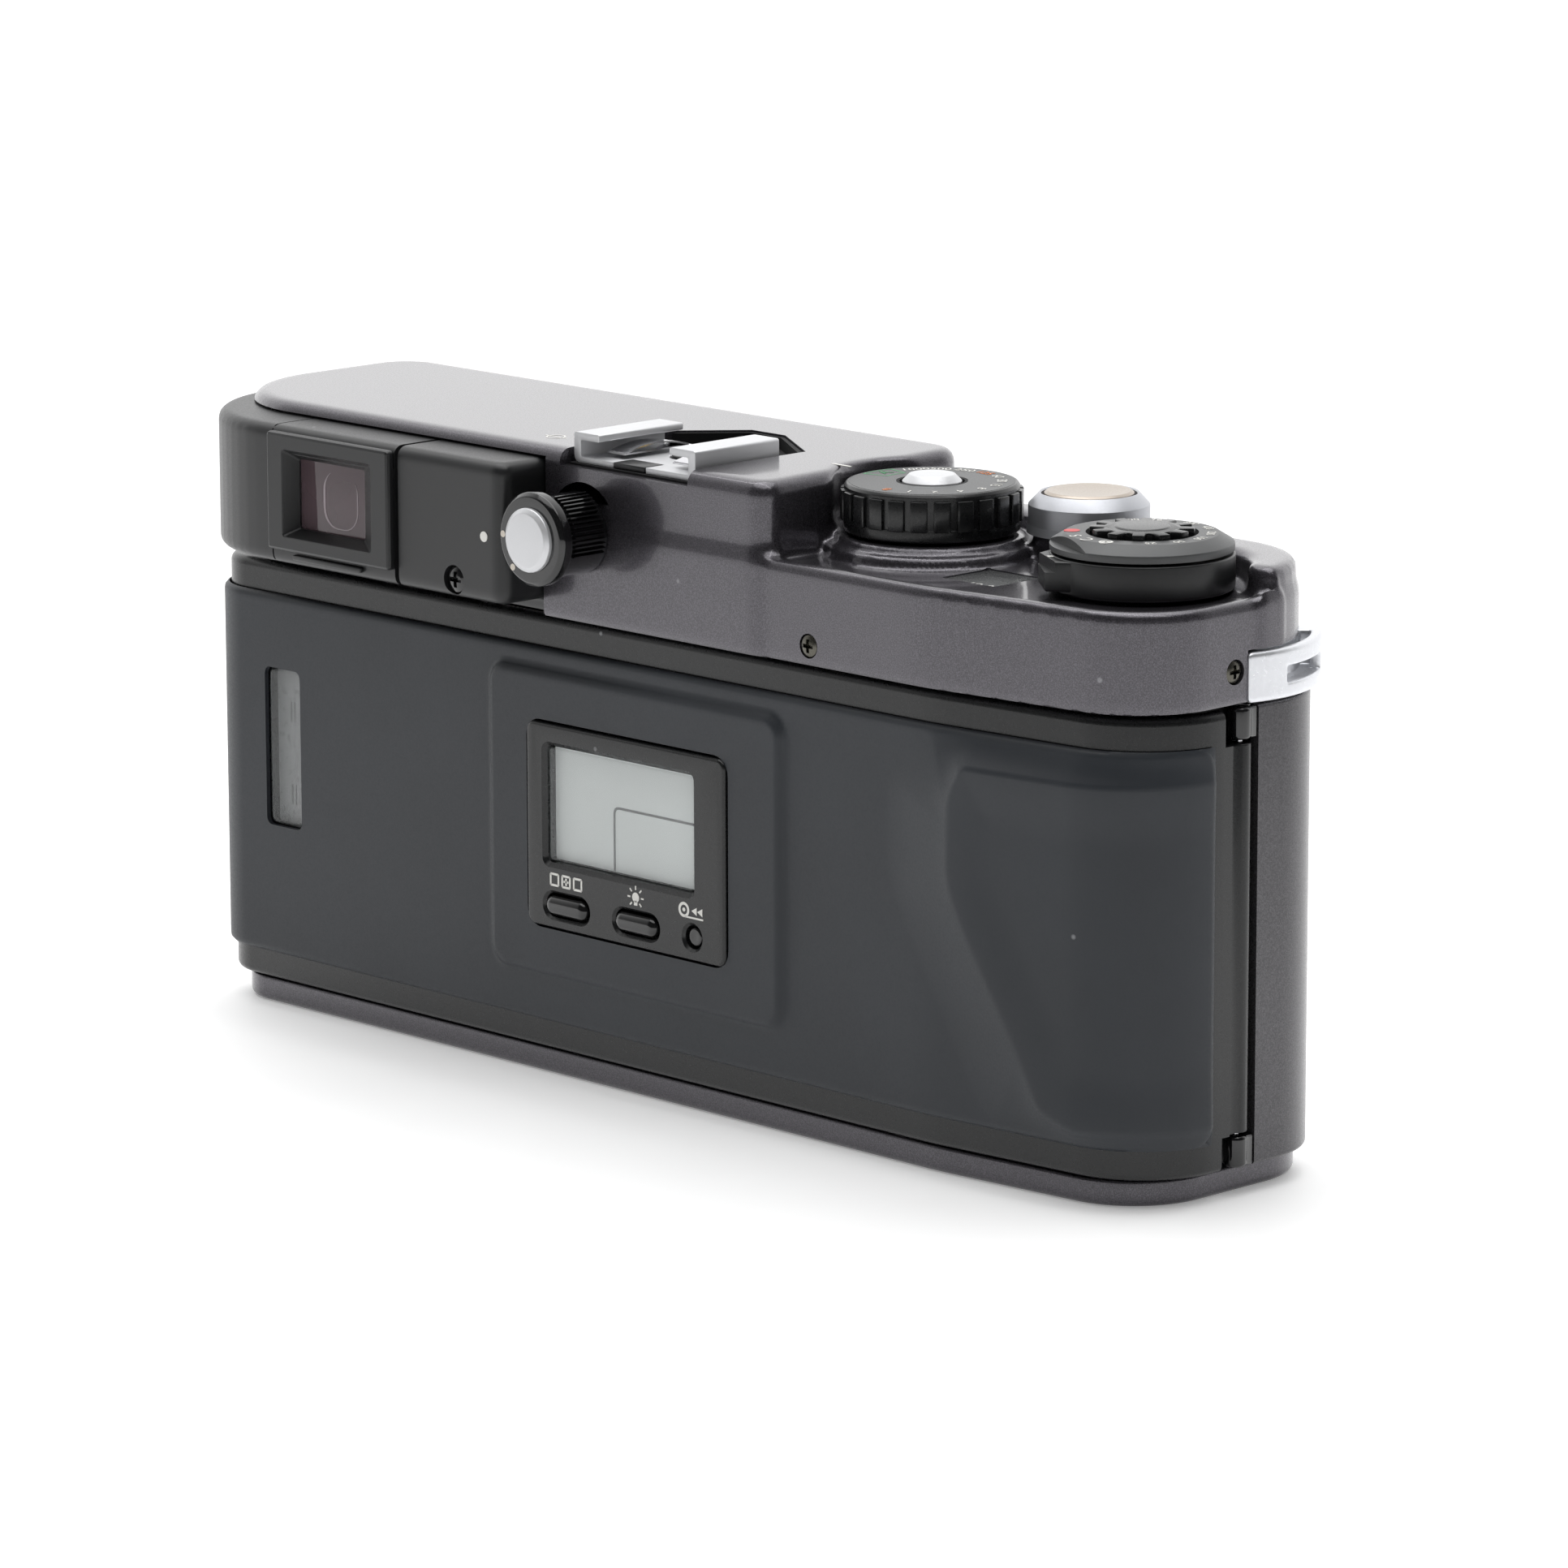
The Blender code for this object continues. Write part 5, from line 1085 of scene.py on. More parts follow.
def skin_height(across, z, edge):
    """Thickness of the rubber over the door; across is its run along the door's back."""
    height = np.full(across.shape, SKIN_THICKNESS)
    half_a, half_z = (PAD[1] - PAD[0]) / 2, (PAD[3] - PAD[2]) / 2
    mid_a, mid_z = (PAD[0] + PAD[1]) / 2, (PAD[2] + PAD[3]) / 2
    corner = 3.2
    pad = corner_distance(np.abs(across - mid_a) - half_a + corner, np.abs(z - mid_z) - half_z + corner)
    height += PAD_RISE * smooth_step((corner - pad) / 1.2)
    foot = polygon_distance(corners_to_points(THUMB_FOOT, 10))(across, z)
    crest = polygon_distance(corners_to_points(THUMB_CREST, 10))(across, z)
    share = np.clip(-foot, 0.0, None) / (np.clip(-foot, 0.0, None) + np.clip(crest, 0.0, None) + 1e-6)
    share = np.where(foot < 0.0, share, 0.0)
    rise = THUMB_RISE - 0.75 * smooth_step((-across - 56.0) / 26.0)
    dish = 0.40 * smooth_step(np.clip(-crest, 0.0, None) / 7.0)
    height += rise * (0.25 * share + 0.75 * share ** 2.0) - dish * (crest < 0.0)
    soft = 0.9
    rim = np.sqrt(np.clip(1.0 - (1.0 - np.clip(edge / soft, 0.0, 1.0)) ** 2, 0.0, 1.0))
    return height * (0.25 + 0.75 * rim)


def make_door_rubber():
    spacing = 0.45
    path, total = skin_path(spacing)
    rows = int((SKIN_HIGH - SKIN_LOW) / spacing)
    tall = np.array([SKIN_LOW + (SKIN_HIGH - SKIN_LOW) * r / rows for r in range(rows + 1)])
    runs = np.array([total * c / (len(path) - 1) for c in range(len(path))])
    across = np.array([p[4] for p in path])
    edge_run = np.minimum(runs, total - runs)[:, None]
    edge_z = np.minimum(tall - SKIN_LOW, SKIN_HIGH - tall)[None, :]
    round_corner = 2.6
    qa, qz = round_corner - edge_run, round_corner - edge_z
    edge = round_corner - corner_distance(qa, qz)
    height = skin_height(np.broadcast_to(across[:, None], edge.shape),
                         np.broadcast_to(tall[None, :], edge.shape), np.clip(edge, 0.0, None))
    work = bmesh.new()
    grid = []
    for column, (x, y, nx, ny, _) in enumerate(path):
        line = []
        for row, z in enumerate(tall):
            pull = float(edge[column, row])
            h = float(height[column, row]) * (1.0 - END_THINNING * max(0.0, -nx) ** 2)
            slide_a, slide_z = 0.0, 0.0
            if pull < 0.0:
                # outside the round corner: back onto its arc
                qx, qy = float(qa[column, 0]), float(qz[0, row])
                length = math.hypot(qx, qy)
                slide_a = pull * qx / length * (1 if runs[column] > total / 2 else -1)
                slide_z = pull * qy / length * (1 if z > 30.0 else -1)
            line.append(work.verts.new((x + nx * h - ny * slide_a, y + ny * h + nx * slide_a,
                                        z + slide_z)))
        grid.append(line)
    inner = [[work.verts.new((x, y, z)) for z in (SKIN_LOW, SKIN_HIGH)] for x, y, *_ in path]
    for a, b in zip(grid, grid[1:]):
        for r in range(rows):
            work.faces.new((a[r], b[r], b[r + 1], a[r + 1]))
    for c in range(len(path) - 1):
        work.faces.new((inner[c][0], inner[c][1], inner[c + 1][1], inner[c + 1][0]))
        work.faces.new((grid[c][0], inner[c][0], inner[c + 1][0], grid[c + 1][0]))
        work.faces.new((grid[c][-1], grid[c + 1][-1], inner[c + 1][1], inner[c][1]))
    work.faces.new([*grid[0], inner[0][1], inner[0][0]])
    work.faces.new([*grid[-1][::-1], inner[-1][0], inner[-1][1]])
    bmesh.ops.recalc_face_normals(work, faces=work.faces)
    holes = [prism(rectangle(-17.3, 18.8, 19.5, 45.8, 2.4), 10.0, 40.0, along="Y"),
             prism(rectangle(62.9, 69.8, 24.3, 45.0, 1.0), 10.0, 40.0, along="Y")]
    piece("door_skin", cut(work, *holes), RUBBER, "door", "door_rubber", smooth=50.0)
    make_film_window()


def make_film_window():
    piece("film_window_pane", prism(rectangle(63.25, 69.35, 24.65, 44.65, 0.9), 17.6, 18.9, 0.2, 0.1, "Y"),
          CLEAR_PLASTIC, "door", "film_window")
    piece("film_window_backing", prism(rectangle(63.1, 69.5, 24.5, 44.8, 0.5), 17.25, 17.4, along="Y"),
          CARTRIDGE, "door")
    ticks = [block((x - 0.12, 17.38, z), (x + 0.12, 17.46, z + 2.6))
             for x in (66.2, 66.9) for z in (27.0, 37.8)]
    piece("film_window_ticks", merged(*ticks), LCD_INK, "door")


def pill(centre_x, half_length, half_height, z=22.7):
    def plan(inset=0.0):
        r = half_height - inset
        return (ring_points(r, 16, (centre_x + half_length - half_height, z), -90.0, 90.0)
                + ring_points(r, 16, (centre_x - half_length + half_height, z), 90.0, 270.0))
    return plan


DISPLAY_FACE = 20.56          # front of the display frame
KEY_SIZE = (3.7, 1.25)        # half length, half height
KEY_X = {"aeb": 11.3, "light": -1.3}
INK_LOW, INK_HIGH = DISPLAY_FACE - 0.04, DISPLAY_FACE + 0.02


def make_display():
    """The display's frame, its glass and panel, and the three keys under it."""
    bezel = prism(rectangle(-17.0, 18.5, 19.8, 45.5, 1.3, 10), 18.7, 20.55, 0.45, 0.0, "Y", 5)
    window = rectangle(-11.2, 15.1, 28.0, 42.7, 0.7)
    rewind = (-11.3, 22.7)
    half_length, half_height = KEY_SIZE
    tools = [prism(window, 10.0, 40.0, along="Y"),
             stacked(window, ((0.0, 20.0), (-0.7, 20.7), (-0.7, 22.0)), "Y")]
    for x in KEY_X.values():
        hole = pill(x, half_length + GAP, half_height + GAP)
        tools.append(prism(hole, 10.0, 40.0, along="Y"))
        tools.append(stacked(hole, ((0.0, 20.2), (-0.45, 20.65), (-0.45, 22.0)), "Y"))
    tools.append(lathe([(0.0, 40.0), (2.0, 40.0), (2.0, 20.7), (1.5, 20.2), (1.5, 10.0), (0.0, 10.0)],
                       rewind, "Y", 40))
    piece("display_frame", cut(bezel, *tools, solver="EXACT"), BLACK_SATIN, "door", "lcd_bezel")
    for name, body in (("aeb", "bracketing_key"), ("light", "lamp_key")):
        rings = [(0.0, 19.2), (0.0, 20.2), (0.12, 20.55), (0.4, 20.82), (0.7, 20.97), (1.0, 21.0)]
        key = stacked(pill(KEY_X[name], half_length, half_height), rings, "Y")
        piece(name + "_button_cap", key, BLACK_GLOSS, body, name + "_button",
              smooth=50.0)
    pin = lathe([(0.0, 20.0), (0.5, 20.05), (1.2, 20.1, 0.3), (1.2, 19.2), (0.0, 19.2)], rewind, "Y", 32)
    piece("rewind_pin", pin, BLACK_GLOSS, "rewind_key", "rewind_button")
    piece("display_glass", prism(rectangle(-10.9, 14.8, 28.3, 42.4, 0.5), 19.45, 20.0, 0.15, 0.0, "Y"),
          CLEAR_PLASTIC, "door", "lcd_glass")
    piece("display_panel", prism(rectangle(-11.0, 14.9, 28.2, 42.5, 0.3), 18.72, 18.85, along="Y"),
          LCD_FACE, "door")
    line = cut(prism(rectangle(-19.0, 4.4, 24.0, 36.4, 0.9), 18.84, 18.9, along="Y"),
               prism(rectangle(-18.7, 4.1, 24.3, 36.1, 0.7), 18.0, 19.5, along="Y"))
    keep = block((-10.9, 18.0, 28.3), (5.0, 19.2, 42.0))
    piece("display_segment", combined(line, [keep], "INTERSECT"), LCD_INK, "door")


def bar(a, b, width):
    """A thin raised stroke on the display frame from a to b, each (x, z)."""
    run = Vector(b) - Vector(a)
    stroke = block((-run.length / 2, INK_LOW, -width / 2), (run.length / 2, INK_HIGH, width / 2))
    turn = math.atan2(run.y, run.x)
    stroke.transform(Matrix.Translation(((a[0] + b[0]) / 2, 0.0, (a[1] + b[1]) / 2))
                     @ Matrix.Rotation(-turn, 4, "Y"))
    return stroke


def make_display_symbols():
    """Three frames, a lamp and a film can with arrows, above the three keys."""
    x, z = KEY_X["aeb"], 26.0
    half, stroke = 0.7, 0.28
    marks = []
    for shift in (-2.1, 0.0, 2.1):
        middle = x + shift
        marks += [bar((middle - half, z + s), (middle + half, z + s), stroke) for s in (-half, half)]
        marks += [bar((middle + s, z - half), (middle + s, z + half), stroke) for s in (-half, half)]
    marks.append(bar((x - 0.45, z), (x + 0.45, z), stroke))
    marks.append(bar((x, z - 0.45), (x, z + 0.45), stroke))

    lamp = (KEY_X["light"], 26.1)
    marks.append(cylinder(0.62, INK_HIGH, INK_LOW, lamp, "Y"))
    marks.append(block((lamp[0] - 0.3, INK_LOW, lamp[1] - 1.0), (lamp[0] + 0.3, INK_HIGH, lamp[1] - 0.4)))
    for index in range(7):
        turn = -45.0 + 45.0 * index
        marks.append(bar(around(lamp, 0.95, turn), around(lamp, 1.45, turn), 0.2))

    x, z = -9.9, 26.0
    can = [(0.95, INK_HIGH), (0.95, INK_LOW), (0.6, INK_LOW), (0.6, INK_HIGH)]
    marks.append(lathe(can, (x, z), "Y", 32))
    marks.append(cylinder(0.25, INK_HIGH, INK_LOW, (x, z), "Y", 16))
    marks.append(bar((x, z - 0.82), (x - 3.4, z - 0.82), 0.22))
    for tip in (x - 1.35, x - 2.35):
        arrow = [(tip, z + 0.05), (tip - 0.9, z + 0.55), (tip - 0.9, z - 0.45)]
        marks.append(extruded(arrow, INK_LOW, INK_HIGH, "Y"))
    piece("display_symbols", merged(*marks), WHITE_INK, "door")


def make_latch():
    plate = prism(rectangle(-4.6, 2.4, 34.8, 46.0, 1.0), 82.4, 83.25, 0.3, 0.0, "X")
    grips = [block((83.0, -3.6, 38.4 + 1.1 * i), (83.5, 1.4, 38.9 + 1.1 * i), 0.12) for i in range(5)]
    stem = block((77.0, -2.7, 39.2), (82.8, 0.5, 46.0), 0.15)
    foot = block((76.2, -2.7, 39.2), (77.9, 11.0, 41.0), 0.15)
    hook = block((76.2, 9.0, 38.6), (80.4, 11.0, 40.6), 0.15)
    piece("latch_slider", merged(plate, *grips, stem, foot, hook), BLACK_SATIN, "latch", "door_latch")


# ---------------------------------------------------------------- lens mount and shutter


def make_lens_mount():
    bore = []
    for tab in range(3):
        middle = 90.0 + 120.0 * tab
        bore += ring_points(22.4, 18, OPTICAL, middle - 32.0, middle + 32.0)
        bore += ring_points(23.9, 14, OPTICAL, middle + 34.0, middle + 86.0)
    ring = lathe([(0.0, FLANGE_Y), (MOUNT_RADIUS, FLANGE_Y, 0.25), (MOUNT_RADIUS, -19.2, 0.1),
                  (0.0, -19.2)], OPTICAL, "Y", 128)
    tools = [extruded(bore, -30.0, -10.0, "Y"),
             cylinder(0.9, -15.0, -25.0, (25.6, 26.0), "Y")]
    screws = []
    for turn in (45.0, 135.0, 225.0, 315.0):
        spot = around(OPTICAL, 25.1, turn)
        tools.append(cylinder(0.95, -20.3, -25.0, spot, "Y"))
        head = lathe([(0.0, -20.3), (0.88, -20.3), (0.88, -20.78, 0.08), (0.0, -20.95)], spot, "Y", 28)
        screws.append(cut(head, *cross(spot, 0.5, 0.12, -22.0, -20.6), solver="EXACT"))
    piece("bayonet_ring", cut(ring, *tools, solver="EXACT"), BRUSHED, stands_for="lens_mount_ring")
    piece("mount_screws", merged(*screws), POLISHED)
    index_spot = (OPTICAL[0], OPTICAL[1] + MOUNT_RADIUS - 0.1)
    piece("mount_index", cylinder(0.9, -19.02, -18.5, index_spot, "Y", 32), RED_INK)

    steps = 9
    inside = []
    for index in range(steps):
        near, far = -18.9 + 9.9 * index / steps, -18.9 + 9.9 * (index + 1) / steps
        radius = 22.3 - 1.1 * index / steps
        inside += [(radius, near), (radius + 0.35, near + 0.15), (radius + 0.35, far - 0.2)]
    wall = lathe([(23.8, -9.0), (23.8, -18.9)] + inside + [(21.2, -9.0)], OPTICAL, "Y", 96)
    seat = block((OPTICAL[0] - 9.5, -20.0, 6.0), (OPTICAL[0] + 9.5, -14.0, 11.6))
    piece("throat_baffle", cut(wall, seat, solver="EXACT"), BLACK_MATTE, stands_for="mount_throat")


def make_contacts_and_lamp():
    """The lens contacts and release button, and the self-timer lamp."""
    strip = block((OPTICAL[0] - 8.0, -18.6, 9.9), (OPTICAL[0] + 8.0, -14.4, 11.3), 0.25)
    piece("contact_block", strip, BLACK_MOULDED)
    pins = [lathe([(0.0, -19.0), (0.35, -18.98), (0.55, -18.8), (0.55, -17.8), (0.0, -17.8)],
                  (OPTICAL[0] + (step - 2) * 3.0, 10.6), "Y", 24) for step in range(5)]
    piece("contact_pins", merged(*pins), GOLD, stands_for="lens_contacts")
    key = lathe([(0.0, -16.75), (1.6, -16.8), (2.15, -17.0, 0.3), (2.5, -16.6, 0.15), (2.5, -12.0),
                 (1.4, -12.0), (1.4, -10.6), (0.0, -10.6)], (25.0, 9.5), "Y", 48)
    piece("lens_key_cap", key, CHROME, "lens_key", "lens_release_button")
    timer = (-27.5, 51.5)
    lamp = lathe([(0.0, -14.0), (1.4, -13.8), (1.9, -13.2), (1.9, -12.9), (0.0, -12.9)], timer, "Y", 32)
    piece("self_timer_lamp", lamp, RED_INK)
    piece("self_timer_bezel", lathe([(2.0, -13.7), (2.5, -13.6, 0.15), (2.5, -12.9), (2.0, -12.9)],
                                    timer, "Y", 40), BLACK_GLOSS)


def make_shutter():
    dress("shutter_frame", BLACK_SATIN, 0.15)
    for index in range(3):
        low, high = node_box("shutter_blade_%d" % (index + 1))
        blade = block(low, high, 0.08, 1)
        ribs = [block((low.x + 2.0, low.y - 0.02, z), (high.x - 2.0, low.y + 0.05, z + 0.35))
                for z in (low.z + 0.7, high.z - 1.05)]
        piece("blade_leaf_%d" % (index + 1), merged(blade, *ribs), BLACK_SATIN, "blade_%d" % (index + 1),
              "shutter_blade_%d" % (index + 1))
    dress("rangefinder_lever", BRUSHED, 0.2)
    grey_spot = prism(rectangle(OPTICAL[0] - 6.0, OPTICAL[0] + 6.0, 36.2, 41.8, 0.8), 8.28, 8.36, along="Y")
    piece("metering_patch", grey_spot, surface("metering_grey", (0.30, 0.30, 0.31), 0.6, 0.0, grain=2000.0,
                                               bump=0.1), "blade_1")


# ---------------------------------------------------------------- inner pieces


def make_inner():
    dress("main_frame", CAST_BLACK, 0.25)
    dress("take_up_spool", BLACK_MOULDED, 0.15)
    dress("film_sprocket", BLACK_SATIN, 0.1)
    dress("rewind_fork", POLISHED, 0.15)
    dress("drive_motor", POLISHED, 0.3)
    dress("circuit_board", CIRCUIT, 0.12)
    for index in (1, 2):
        low, high = node_box("battery_cell_%d" % index)
        cell = lathe([(0.0, high.z), (1.4, high.z, 0.15), (3.2, high.z - 0.1, 0.2), (3.2, high.z - 1.2),
                      (6.6, high.z - 1.2), (7.5, high.z - 1.2, 0.5), (7.5, low.z + 0.2, 0.3), (6.2, low.z),
                      (0.0, low.z)], CELL, sides=64)
        piece("lithium_cell_%d" % index, cell, CELL_LABEL, stands_for="battery_cell_%d" % index)
    rails = [block((-34.0, 12.9, z - 0.5), (36.0, 13.5, z + 0.5), 0.15) for z in (17.0, 45.0)]
    piece("film_rails", merged(*rails), POLISHED)
    for name, place, bore in (("sync_socket", (-4.2, 50.0), 1.5),
                              ("cable_release_socket", (-4.2, 24.0), 1.2)):
        low, high = node_box(name)
        ring = lathe([(bore, low.x), (bore, high.x, 0.15), (2.4, high.x, 0.3), (2.4, low.x)], place, "X", 48)
        piece(name + "_collar", ring, CHROME, stands_for=name)
        pin = lathe([(0.0, high.x - 0.4), (0.45, high.x - 0.5, 0.1), (0.45, low.x), (0.0, low.x)],
                    place, "X", 20)
        piece(name + "_pin", pin, GOLD if name.startswith("sync") else POLISHED)


# ---------------------------------------------------------------- shoe


def make_shoe():
    wall, top, base = 1.2, 82.0, 78.3
    low_x, high_x = -10.0, 11.5
    under, floor = top - 0.9, base + 0.7
    profile = corners_to_points([
        (low_x, base, 0.9), (high_x, base, 0.9), (high_x, top, 0.35), (7.0, top, 0.25),
        (7.0, under, 0.25), (high_x - wall, under, 0.3), (high_x - wall, floor, 0.3),
        (low_x + wall, floor, 0.3), (low_x + wall, under, 0.3), (-5.5, under, 0.25), (-5.5, top, 0.25),
        (low_x, top, 0.35)], 5)
    shoe = extruded(profile, 4.4, 18.4, "Y")
    tools = [cylinder(2.6, 90.0, 70.0, (OPTICAL[0], 9.0), sides=48),
             block((-1.3, 15.2, base - 1.0), (4.5, 20.0, base + 1.5))]
    piece("accessory_shoe_rails", bevelled(cut(shoe, *tools, solver="EXACT"), 0.12, 2, 50.0), ALUMINIUM,
          stands_for="accessory_shoe")
    piece("shoe_insulator", block((-1.1, 15.3, base + 0.02), (4.3, 18.5, base + 0.75), 0.12), BLACK_MOULDED)
    leaf_outline = [(-8.4, 5.2), (9.9, 5.2), (9.9, 6.4), (8.0, 6.4), (8.0, 16.0), (5.0, 16.0), (5.0, 6.4),
                    (-3.5, 6.4), (-3.5, 16.0), (-6.5, 16.0), (-6.5, 6.4), (-8.4, 6.4)]
    leaf = extruded(leaf_outline, 79.5, 79.7)
    arms = []
    for low, high in ((-6.5, -3.5), (5.0, 8.0)):
        bow = [(5.3 + 10.5 * i / 12, 79.62 + 0.75 * math.sin(math.pi * i / 12)) for i in range(13)]
        arms.append(extruded(bow + [(y, z + 0.18) for y, z in reversed(bow)], low, high, "X"))
    piece("shoe_leaf_spring", merged(leaf, *arms), POLISHED, stands_for="shoe_spring")
    middle = (OPTICAL[0], 9.0)
    contact = lathe([(0.0, 79.5), (0.9, 79.58), (1.1, 79.5, 0.1), (1.1, 78.6), (0.0, 78.6)], middle,
                    sides=32)
    piece("shoe_centre_contact", contact, GOLD)
    ring = lathe([(1.2, 79.25), (2.3, 79.3, 0.15), (2.3, 78.4), (1.2, 78.4)], middle, sides=48)
    piece("shoe_contact_ring", ring, BLACK_MOULDED, stands_for="hot_contact")


# ---------------------------------------------------------------- dials


def lettering(text, size, centre, turn, height, thickness=0.03):
    """Raised lettering on a horizontal face, its foot towards a given direction."""
    curve = bpy.data.curves.new("lettering", "FONT")
    curve.body = text
    curve.size = size
    curve.align_x = "CENTER"
    curve.align_y = "CENTER"
    curve.extrude = thickness
    curve.resolution_u = 3
    obj = placed("lettering", curve)
    graph = bpy.context.evaluated_depsgraph_get()
    mesh = bpy.data.meshes.new_from_object(obj.evaluated_get(graph))
    bpy.data.objects.remove(obj, do_unlink=True)
    bpy.data.curves.remove(curve)
    work = work_from(mesh)
    bmesh.ops.remove_doubles(work, verts=work.verts, dist=0.0005)
    work.transform(Matrix.Translation((centre[0], centre[1], height))
                   @ Matrix.Rotation(math.radians(turn), 4, "Z"))
    return work


def around(centre, radius, degrees):
    turn = math.radians(degrees)
    return (centre[0] + radius * math.cos(turn), centre[1] + radius * math.sin(turn))


def dial_marks(name, labels, centre, radius, size, height, material, body):
    """Labels round a dial, each (text, degrees), with their feet towards the centre."""
    works = [lettering(text, size, around(centre, radius, degrees), degrees - 90.0, height)
             for text, degrees in labels]
    piece(name, merged(*works), material, body)


SPEED_TOP = 79.0              # top of the speed dial
LABEL_STEP = 21.3             # degrees between two speeds
LABEL_START = 329.0
ORANGE_LABELS = ("125", "B")


def sector(inner, outer, centre, span, low, high, steps=12):
    """A flat ring sector from -span to span degrees."""
    outline = (ring_points(outer, steps, centre, -span, span)
               + ring_points(inner, steps, centre, span, -span))
    return extruded(outline, low, high)


def make_speed_dial():
    core = lathe([(0.0, 77.0), (4.0, 77.0), (4.0, 79.0, 0.12), (10.25, 79.0, 0.3), (10.55, 78.6, 0.15),
                  (10.55, 73.1, 0.4), (2.2, 73.1), (2.2, 66.0), (0.0, 66.0)], SPEED_DIAL, sides=120)
    pads = []
    count = 24
    for index in range(count):
        first, last = 360.0 * (index + 0.07) / count, 360.0 * (index + 0.79) / count
        outline = (ring_points(11.0, 7, SPEED_DIAL, first, last)
                   + ring_points(10.0, 7, SPEED_DIAL, last, first))
        pads.append(bevelled(extruded(outline, 74.5, 78.2), 0.14, 2, 40.0))
    foot = lathe([(10.3, 74.7), (10.62, 74.7, 0.1), (10.62, 73.3, 0.1), (10.3, 73.3)], SPEED_DIAL, sides=120)
    piece("speed_dial_body", merged(core, *pads, foot), BLACK_SATIN, "speed_dial", "shutter_speed_dial",
          smooth=35.0)
    piece("speed_dial_face", lathe([(4.35, 79.03), (10.0, 79.03), (10.0, 78.9), (4.35, 78.9)], SPEED_DIAL,
                                   sides=96), DIAL_FACE, "speed_dial")
    piece("speed_dial_well", lathe([(3.95, 79.02, 0.03), (4.3, 79.02), (4.3, 78.8), (3.95, 78.8)],
                                   SPEED_DIAL, sides=72), BLACK_MATTE, "speed_dial")
    lock = lathe([(0.0, 79.9), (2.75, 79.9, 0.25), (3.6, 79.05, 0.2), (3.6, 78.1), (0.0, 78.1)], SPEED_DIAL,
                 sides=72)
    piece("dial_lock_cap", lock, ALUMINIUM, "dial_lock", "dial_lock_button")
    speeds = ["1000", "500", "250", "125", "60", "30", "15", "8", "4", "2", "1", "B"]
    labels = [(text, LABEL_START - LABEL_STEP * i) for i, text in enumerate(speeds)]
    white = [label for label in labels if label[0] not in ORANGE_LABELS]
    orange = [label for label in labels if label[0] in ORANGE_LABELS]
    for name, group, colour in (("speed_numbers", white, WHITE_INK),
                                ("speed_numbers_slow", orange, ORANGE_INK)):
        dial_marks(name, group, SPEED_DIAL, 8.3, 1.8, SPEED_TOP + 0.04, colour, "speed_dial")
    band = sector(6.2, 9.7, SPEED_DIAL, 15.0, SPEED_TOP, SPEED_TOP + 0.05)
    window = sector(6.45, 9.45, SPEED_DIAL, 13.0, SPEED_TOP - 1.0, SPEED_TOP + 1.0)
    piece("auto_band", cut(band, window, solver="EXACT"), GREEN_INK, "speed_dial")
    auto = lettering("A", 2.4, around(SPEED_DIAL, 8.0, 0.0), -90.0, SPEED_TOP + 0.05)
    piece("auto_letter", auto, GREEN_INK, "speed_dial")


def make_release():
    collar = lathe([(7.3, 74.4), (7.3, 76.75, 0.15), (5.95, 78.2, 0.08), (5.75, 78.0, 0.08), (5.75, 74.5)],
                   RELEASE, sides=96)
    piece("release_collar", collar, SATIN_GREY, stands_for="shutter_collar")
    button = lathe([(0.0, 78.1), (2.2, 78.15), (3.8, 78.25), (5.0, 78.38, 0.25), (5.4, 78.1, 0.15),
                    (5.4, 75.8), (2.4, 75.8), (2.4, 70.5), (0.0, 70.5)], RELEASE, sides=96)
    piece("release_button_cap", button, CHAMPAGNE, "release_key", "shutter_button")
    seat = lathe([(2.9, 74.45), (7.3, 74.45), (7.5, 73.4), (2.9, 73.4)], RELEASE, sides=72)
    piece("release_seat", seat, SATIN_GREY)


MODE_TOP = 77.31              # height of the marks on the mode plate


def make_mode_dial():
    x, y = MODE_DIAL
    ring = lathe([(5.9, 75.0), (10.9, 75.0, 0.25), (10.9, 70.75, 0.45), (5.9, 70.75)], MODE_DIAL, sides=120)
    tab_outline = [around(MODE_DIAL, radius, degrees)
                   for radius, degrees in ((10.0, 20.0), (12.1, 46.0), (13.1, 74.0), (10.0, 91.0))]
    tab = bevelled(extruded(tab_outline, 71.3, 74.9), 0.3, 3)
    tab_slope = turned_about(block((x + 11.6, y - 20.0, 73.6), (x + 20.0, y + 20.0, 80.0)),
                             (x, y, 74.0), 60.0)
    tab = cut(tab, tab_slope, solver="EXACT")
    piece("drive_ring", join(ring, tab, solver="EXACT"), BLACK_MOULDED, "drive_ring", "drive_lever")
    tip = [around(MODE_DIAL, r, a) for r, a in ((10.5, 59.0), (11.5, 59.0), (11.5, 63.0), (10.5, 63.0))]
    piece("drive_ring_mark", extruded(tip, 74.86, 74.94), WHITE_INK, "drive_ring")

    plate = lathe([(6.6, 77.3, 0.1), (9.0, 77.3, 0.5), (10.8, 76.2, 0.25), (10.8, 75.3, 0.1), (5.5, 75.3),
                   (5.5, 70.7), (2.4, 70.7), (2.4, 76.5), (6.5, 76.5)], MODE_DIAL, sides=120)
    flat = turned_about(block((x + 9.3, y - 12.0, 76.0), (x + 20.0, y + 12.0, 80.0)), (x, y, 76.0), 66.0)
    piece("drive_scale_plate", cut(plate, flat, solver="EXACT"), DIAL_FACE, stands_for="mode_plate")
    dial_marks("drive_marks", [("S", 66.0), ("C", 84.0)], MODE_DIAL, 8.3, 2.1, MODE_TOP, WHITE_INK,
               "camera_body")
    make_timer_and_off_marks()


